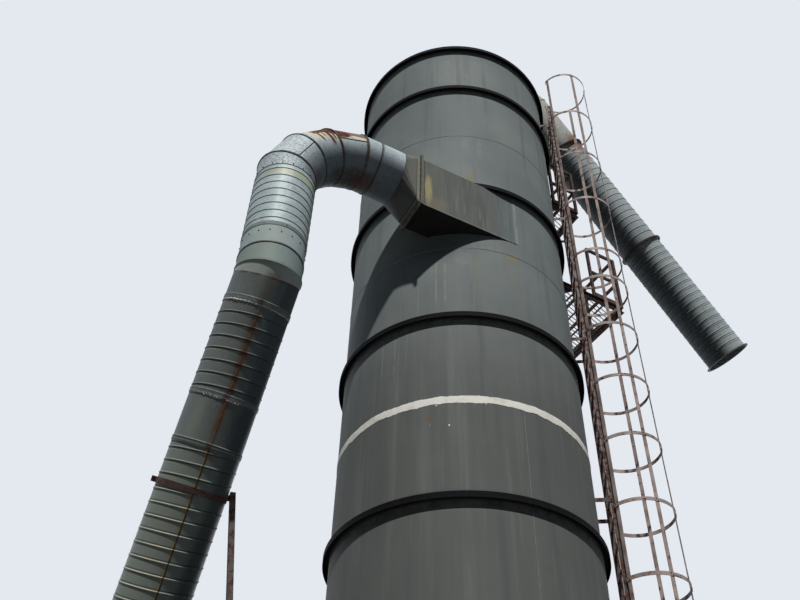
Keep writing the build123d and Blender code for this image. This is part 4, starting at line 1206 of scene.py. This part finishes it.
def grating(name):
    """Planks of strip grating side by side along the outer edge, with skewed bars between their flanges."""
    level, reach = LANDINGS[name]
    near = LANDING_NEAR + BEAM_WIDTH + 0.001
    far = LANDING_FAR - BEAM_WIDTH - 0.001
    outer = reach - BEAM_WIDTH - 0.001
    clear = SHELL_RADIUS + GRATING_SHELL_GAP
    middle = level - GRATING_DEPTH / 2
    skew = math.tan(math.radians(GRATING_SKEW))
    shape = Shape()

    def strip(start, end, width=PLANK_FLANGE, depth=GRATING_DEPTH):
        """Bar between two (out, side) places, cut back to the clearance round the shell."""
        run = (end[0] - start[0], end[1] - start[1])
        steps = 60
        inside = []
        for share in range(steps + 1):
            out, side = [start[axis] + run[axis] * share / steps for axis in (0, 1)]
            if out ** 2 + side ** 2 > clear ** 2:
                inside.append(share / steps)
        if len(inside) < 3:
            return
        low, high = [
            turned_point(LANDING_BEARING, start[0] + run[0] * share, start[1] + run[1] * share, middle)
            for share in (inside[0], inside[-1])
        ]
        shape.bar(low, high, width, depth, turned_point(LANDING_BEARING, -run[1], run[0], 0))

    edge = outer
    while edge > clear * 0.75:
        inner = edge - GRATING_PLANK + 0.006
        for place in (edge - 0.003, inner):
            if place > clear:
                strip((place, near), (place, far))
            else:
                half = math.sqrt(clear ** 2 - place ** 2)
                for low, high in ((near, -half), (half, far)):
                    if high - low > SHORTEST_BAR:
                        strip((place, low), (place, high))
        for index in range(-8, int((far - near) / GRATING_PITCH) + 1):
            side = near + index * GRATING_PITCH
            start, end = [inner, side], [edge - 0.003, side + (edge - inner) * skew]
            if start[1] < near:
                start = [inner + (near - start[1]) / skew, near]
            if end[1] > far:
                end = [start[0] + (far - start[1]) / skew, far]
            if end[0] - start[0] > SHORTEST_BAR:
                strip(start, end, SKEWED_BAR, GRATING_DEPTH - 0.012)
        edge -= GRATING_PLANK
    for side in (near + 0.003, far - 0.003):
        strip((math.sqrt(clear ** 2 - side ** 2), side), (outer, side))
    shape.finish(f"{name}_mesh", "grating_steel", replaces=(f"{name}_grating",))


def landing_bolts():
    shape = Shape()
    for level, reach in LANDINGS.values():
        for side, sign in ((LANDING_NEAR, -1), (LANDING_FAR, 1)):
            normal = turned_point(LANDING_BEARING, 0, sign, 0)
            web = side - sign * (BEAM_WIDTH - 0.006)
            inner = math.sqrt(SHELL_RADIUS ** 2 - side ** 2)
            for out in (inner + 0.09, inner + 0.18, reach - 0.08):
                for height in (level - 0.03, level - 0.07):
                    shape.bolt(turned_point(LANDING_BEARING, out, web, height), normal, LANDING_BOLT)
    shape.finish("landing_bolts", "rusty_steel", "bolt_steel")


def cage_bolts():
    """Two bolts where each hoop crosses an upright, and welds from the lugs to the rails."""
    for name, hoops in (("upper_cage_bolts", UPPER_HOOPS), ("lower_cage_bolts", LOWER_HOOPS)):
        shape = Shape()
        for level in hoops:
            for degrees in CAGE_STRAP_TURNS:
                turn = math.radians(degrees)
                normal = turned_point(LADDER_BEARING + turn, 1, 0, 0)
                across = turned_point(LADDER_BEARING + turn, 0, 1, 0)
                out, side = CAGE_CENTRE + CAGE_RADIUS * math.cos(turn), CAGE_RADIUS * math.sin(turn)
                place = ladder_point(out, side, level)
                for shift in (-0.011, 0.011):
                    shape.bolt(place + across * shift - UP * shift, normal, CAGE_BOLT)
            for sign in (-1, 1):
                rail = ladder_point(LADDER_RADIUS + 0.006, sign * (LADDER_HALF_WIDTH + 0.0005), level)
                half = UP * (CAGE_BAR_WIDTH / 2)
                shape.seam(rail - half, rail + half, ladder_point(0.7, 0.7 * sign, 0), 8, LUG_WELD)
        shape.finish(name, "rusty_steel", "bolt_steel")


def bracket_bolts():
    shape = Shape()
    for level in BRACKET_LEVELS:
        for sign in (-1, 1):
            for out in (-0.016, 0.016):
                place = ladder_point(LADDER_RADIUS + out, sign * (LADDER_HALF_WIDTH + 0.0083), level)
                shape.bolt(place, ladder_point(0, sign, 0), LANDING_BOLT)
    shape.finish("ladder_bracket_bolts", "rusty_steel", "bolt_steel")


def rung_welds():
    """Small weld fillets where the rungs meet the rails."""
    shape = Shape()
    for index in range(int((LADDER_TOP - RUNG_PITCH) // RUNG_PITCH) + 1):
        level = LADDER_TOP - RUNG_PITCH / 2 - index * RUNG_PITCH
        for sign in (-1, 1):
            centre = ladder_point(LADDER_RADIUS, sign * RUNG_HALF_LENGTH, level)
            profile = [(0.021, -0.002), (0.0195, 0.003), (0.0148, 0.007)]
            shape.spun(centre, ladder_point(0, -sign, 0), profile, 8, math.pi / 8)
    shape.finish("rung_welds", "rusty_steel")


def band_clamp():
    """Ears and bolts that close the clamp band."""
    shape = Shape()
    side = Vector((math.cos(POST_DIRECTION), math.sin(POST_DIRECTION), 0))
    across = SLANT_HEADING.cross(side).normalized()
    centre = slant_point(BAND_DISTANCE)
    outward = (SLANT_HEADING * side.dot(SLANT_HEADING) - side).normalized()
    for sign in (-1, 1):
        root = centre + outward * (DUCT_RADIUS + 0.004) + across * (0.014 * sign)
        shape.bar(root, root + outward * 0.05, 0.056, 0.007, SLANT_HEADING)
    for lift in (-0.015, 0.015):
        place = centre + outward * (DUCT_RADIUS + 0.035) + SLANT_HEADING * lift
        for sign in (1, -1):
            shape.bolt(place + across * (0.0175 * sign), across * sign, DUCT_BOLT)
        shape.spun(place - across * 0.018, across, [(0.0045, 0.0), (0.0045, 0.036)], 10)
    shape.finish("support_band_clamp", "rusty_steel")


def stand_welds():
    """Welds at the ends of the legs, down the hopper and round it."""
    shape = Shape()
    half = LEG_SIDE / 2
    corners = [(half, half), (half, -half), (-half, -half), (-half, half)]
    for turn in LEG_BEARINGS:
        for level, lift in ((BASE_PLATE_THICKNESS, 1), (GIRDER_LOW, -1)):
            centre = turned_point(turn, LEG_RADIUS, 0, level)
            for index in range(4):
                start, end = [
                    turned_point(turn, LEG_RADIUS + out, side, level)
                    for out, side in (corners[index], corners[(index + 1) % 4])
                ]
                outward = ((start + end) / 2 - centre).normalized()
                shape.seam(start, end, (outward + UP * lift).normalized(), 12, LEG_WELD)
    slope_out, slope_up = math.cos(HOPPER_LEAN), -math.sin(HOPPER_LEAN)
    for step in range(4):
        bearing = 30 + 90 * step
        top = shell_point(bearing, SHELL_BOTTOM)
        foot = shell_point(bearing, HOPPER_BOTTOM, HOPPER_OUTLET_RADIUS)
        shape.seam(top.lerp(foot, 0.05), foot, shell_point(bearing, slope_up, slope_out), 57, HOPPER_WELD)
    points, outwards = girth_path(HOPPER_BOTTOM, 6, HOPPER_OUTLET_RADIUS)
    shape.bead(points, outwards, HOPPER_OUTLET_WELD)
    radius = (SHELL_RADIUS + HOPPER_OUTLET_RADIUS) / 2
    points, outwards = girth_path((SHELL_BOTTOM + HOPPER_BOTTOM) / 2, 1.5, radius)
    shape.bead(points, [outward * slope_out + UP * slope_up for outward in outwards], HOPPER_GIRTH_WELD)
    shape.finish("stand_welds", "stand_paint")


def roof_seams():
    """Standing laps of the roof plates, and the bolts round the rim."""
    shape = Shape()
    inner = DUCT_RADIUS + 0.05
    inner_level = ROOF_TOP + (ROOF_FLAT_RADIUS - inner) * math.tan(ROOF_SLOPE)
    for step in range(8):
        bearing = 22.5 + 45 * step
        shape.seam(
            shell_point(bearing, ROOF_TOP, ROOF_FLAT_RADIUS), shell_point(bearing, inner_level, inner),
            shell_point(bearing, math.cos(ROOF_SLOPE), math.sin(ROOF_SLOPE)), 30, ROOF_LAP,
        )
    points, _ = girth_path(ROOF_TOP, 1.5, ROOF_FLAT_RADIUS)
    shape.bead(points, [UP] * len(points), ROOF_EDGE_WELD)
    shape.finish("roof_seams", "shell_paint")
    shape = Shape()
    for step in range(ROOF_BOLTS):
        shape.bolt(shell_point(360 / ROOF_BOLTS * step, ROOF_TOP, ROOF_BOLT_CIRCLE), UP, DUCT_BOLT)
    shape.finish("roof_bolts", "rusty_steel", "bolt_steel")


# ---------------------------------------------------------------- light and camera

FLOOR_HALF = 60
SURROUND_TINT = colour(228, 233, 240)
FILL_TINT = colour(214, 228, 255)
FILL = 0.06
FLOOR_BOUNCE = (56, 56, 56)
# name, energy, angle in degrees, tint, direction of travel, place
LAMPS = (
    ("sun", 3.2, 2, (1.0, 0.98, 0.95), (-0.09, 0.62, -0.78), (2, -8, 30)),
    ("back_light", 0.9, 25, (0.93, 0.96, 1.0), (-0.12, -0.9, -0.35), (6, 18, 20)),
    ("left_light", 0.35, 25, (0.93, 0.96, 1.0), (0.75, -0.6, -0.3), (-18, 10, 20)),
)
CAMERA_PLACE = (0.0, -9.135, 1.6)
CAMERA_HEADING = math.radians(5.19)
CAMERA_PITCH = math.radians(44.8)
CAMERA_ROLL = math.radians(2.09)
CAMERA_LENS = 40.5


def studio():
    """Pale floor that throws little light up, and a surround that is bright only where it is seen."""
    shape = Shape()
    across = (-FLOOR_HALF, 0, FLOOR_HALF)
    shape.loft([[Vector((x, y, 0.0)) for x in across] for y in across], closed_rows=False)
    data = bpy.data.meshes.new("floor")
    shape.mesh.to_mesh(data)
    shape.mesh.free()
    floor = bpy.data.objects.new("floor", data)
    bpy.context.scene.collection.objects.link(floor)
    g = Graph("floor")
    path = g.add("ShaderNodeLightPath")
    pale = g.mix(g.ramp(g.noise(3, detail=3), 0.3, 0.7), (222, 224, 226), (228, 230, 232))
    seen = g.math("MAXIMUM", path.outputs["Is Camera Ray"], path.outputs["Is Glossy Ray"])
    g.base = g.mix(seen, FLOOR_BOUNCE, pale)
    data.materials.append(g.finish(0.8, specular=0.1))

    world = bpy.data.worlds.new("surround")
    bpy.context.scene.world = world
    world.use_nodes = True
    tree = world.node_tree
    fill = tree.nodes["Background"]
    seen = tree.nodes.new("ShaderNodeBackground")
    for node, tint, strength in ((fill, FILL_TINT, FILL), (seen, SURROUND_TINT, 1.0)):
        node.inputs["Color"].default_value = tint
        node.inputs["Strength"].default_value = strength
    path = tree.nodes.new("ShaderNodeLightPath").outputs
    first, second = [tree.nodes.new("ShaderNodeMath") for _ in range(2)]
    first.operation = second.operation = "MAXIMUM"
    blend = tree.nodes.new("ShaderNodeMixShader")
    for output, socket in (
        (path["Is Camera Ray"], first.inputs[0]), (path["Is Glossy Ray"], first.inputs[1]),
        (first.outputs[0], second.inputs[0]), (path["Is Transmission Ray"], second.inputs[1]),
        (second.outputs[0], blend.inputs[0]), (fill.outputs[0], blend.inputs[1]),
        (seen.outputs[0], blend.inputs[2]), (blend.outputs[0], tree.nodes["World Output"].inputs["Surface"]),
    ):
        tree.links.new(output, socket)
    for lamp in LAMPS:
        sun_lamp(*lamp)


def sun_lamp(name, energy, angle, tint, travel, place):
    lamp = bpy.data.lights.new(name, "SUN")
    lamp.energy = energy
    lamp.angle = math.radians(angle)
    lamp.color = tint
    made = bpy.data.objects.new(name, lamp)
    bpy.context.scene.collection.objects.link(made)
    made.location = place
    made.rotation_euler = Vector(travel).to_track_quat("-Z", "Y").to_euler()


def camera():
    """Camera near the ground in front of the tower, looking up."""
    level = Vector((math.cos(CAMERA_HEADING), math.sin(CAMERA_HEADING), 0))
    forward = UP.cross(level) * math.cos(CAMERA_PITCH) + UP * math.sin(CAMERA_PITCH)
    above = level.cross(forward)
    right = level * math.cos(CAMERA_ROLL) + above * math.sin(CAMERA_ROLL)
    up = above * math.cos(CAMERA_ROLL) - level * math.sin(CAMERA_ROLL)
    data = bpy.data.cameras.new("camera")
    data.lens = CAMERA_LENS
    data.sensor_width = 36
    data.sensor_fit = "HORIZONTAL"
    data.clip_end = 300
    made = bpy.data.objects.new("camera", data)
    bpy.context.scene.collection.objects.link(made)
    turned = Matrix((right, up, -forward)).transposed().to_4x4()
    made.matrix_world = Matrix.Translation(Vector(CAMERA_PLACE)) @ turned
    bpy.context.scene.camera = made


dress_nodes()
duct_ribs()
elbow_seams()
lock_seams()
riser_screws()
duct_flange_bolts()
inlet_flange_bolts()
shell_welds()
inlet_welds()
white_band()
joint_sealant()
for landing in LANDINGS:
    grating(landing)
landing_bolts()
cage_bolts()
bracket_bolts()
rung_welds()
band_clamp()
stand_welds()
roof_seams()
studio()
camera()
bpy.context.scene.view_settings.view_transform = "Standard"

bpy.context.view_layer.update()
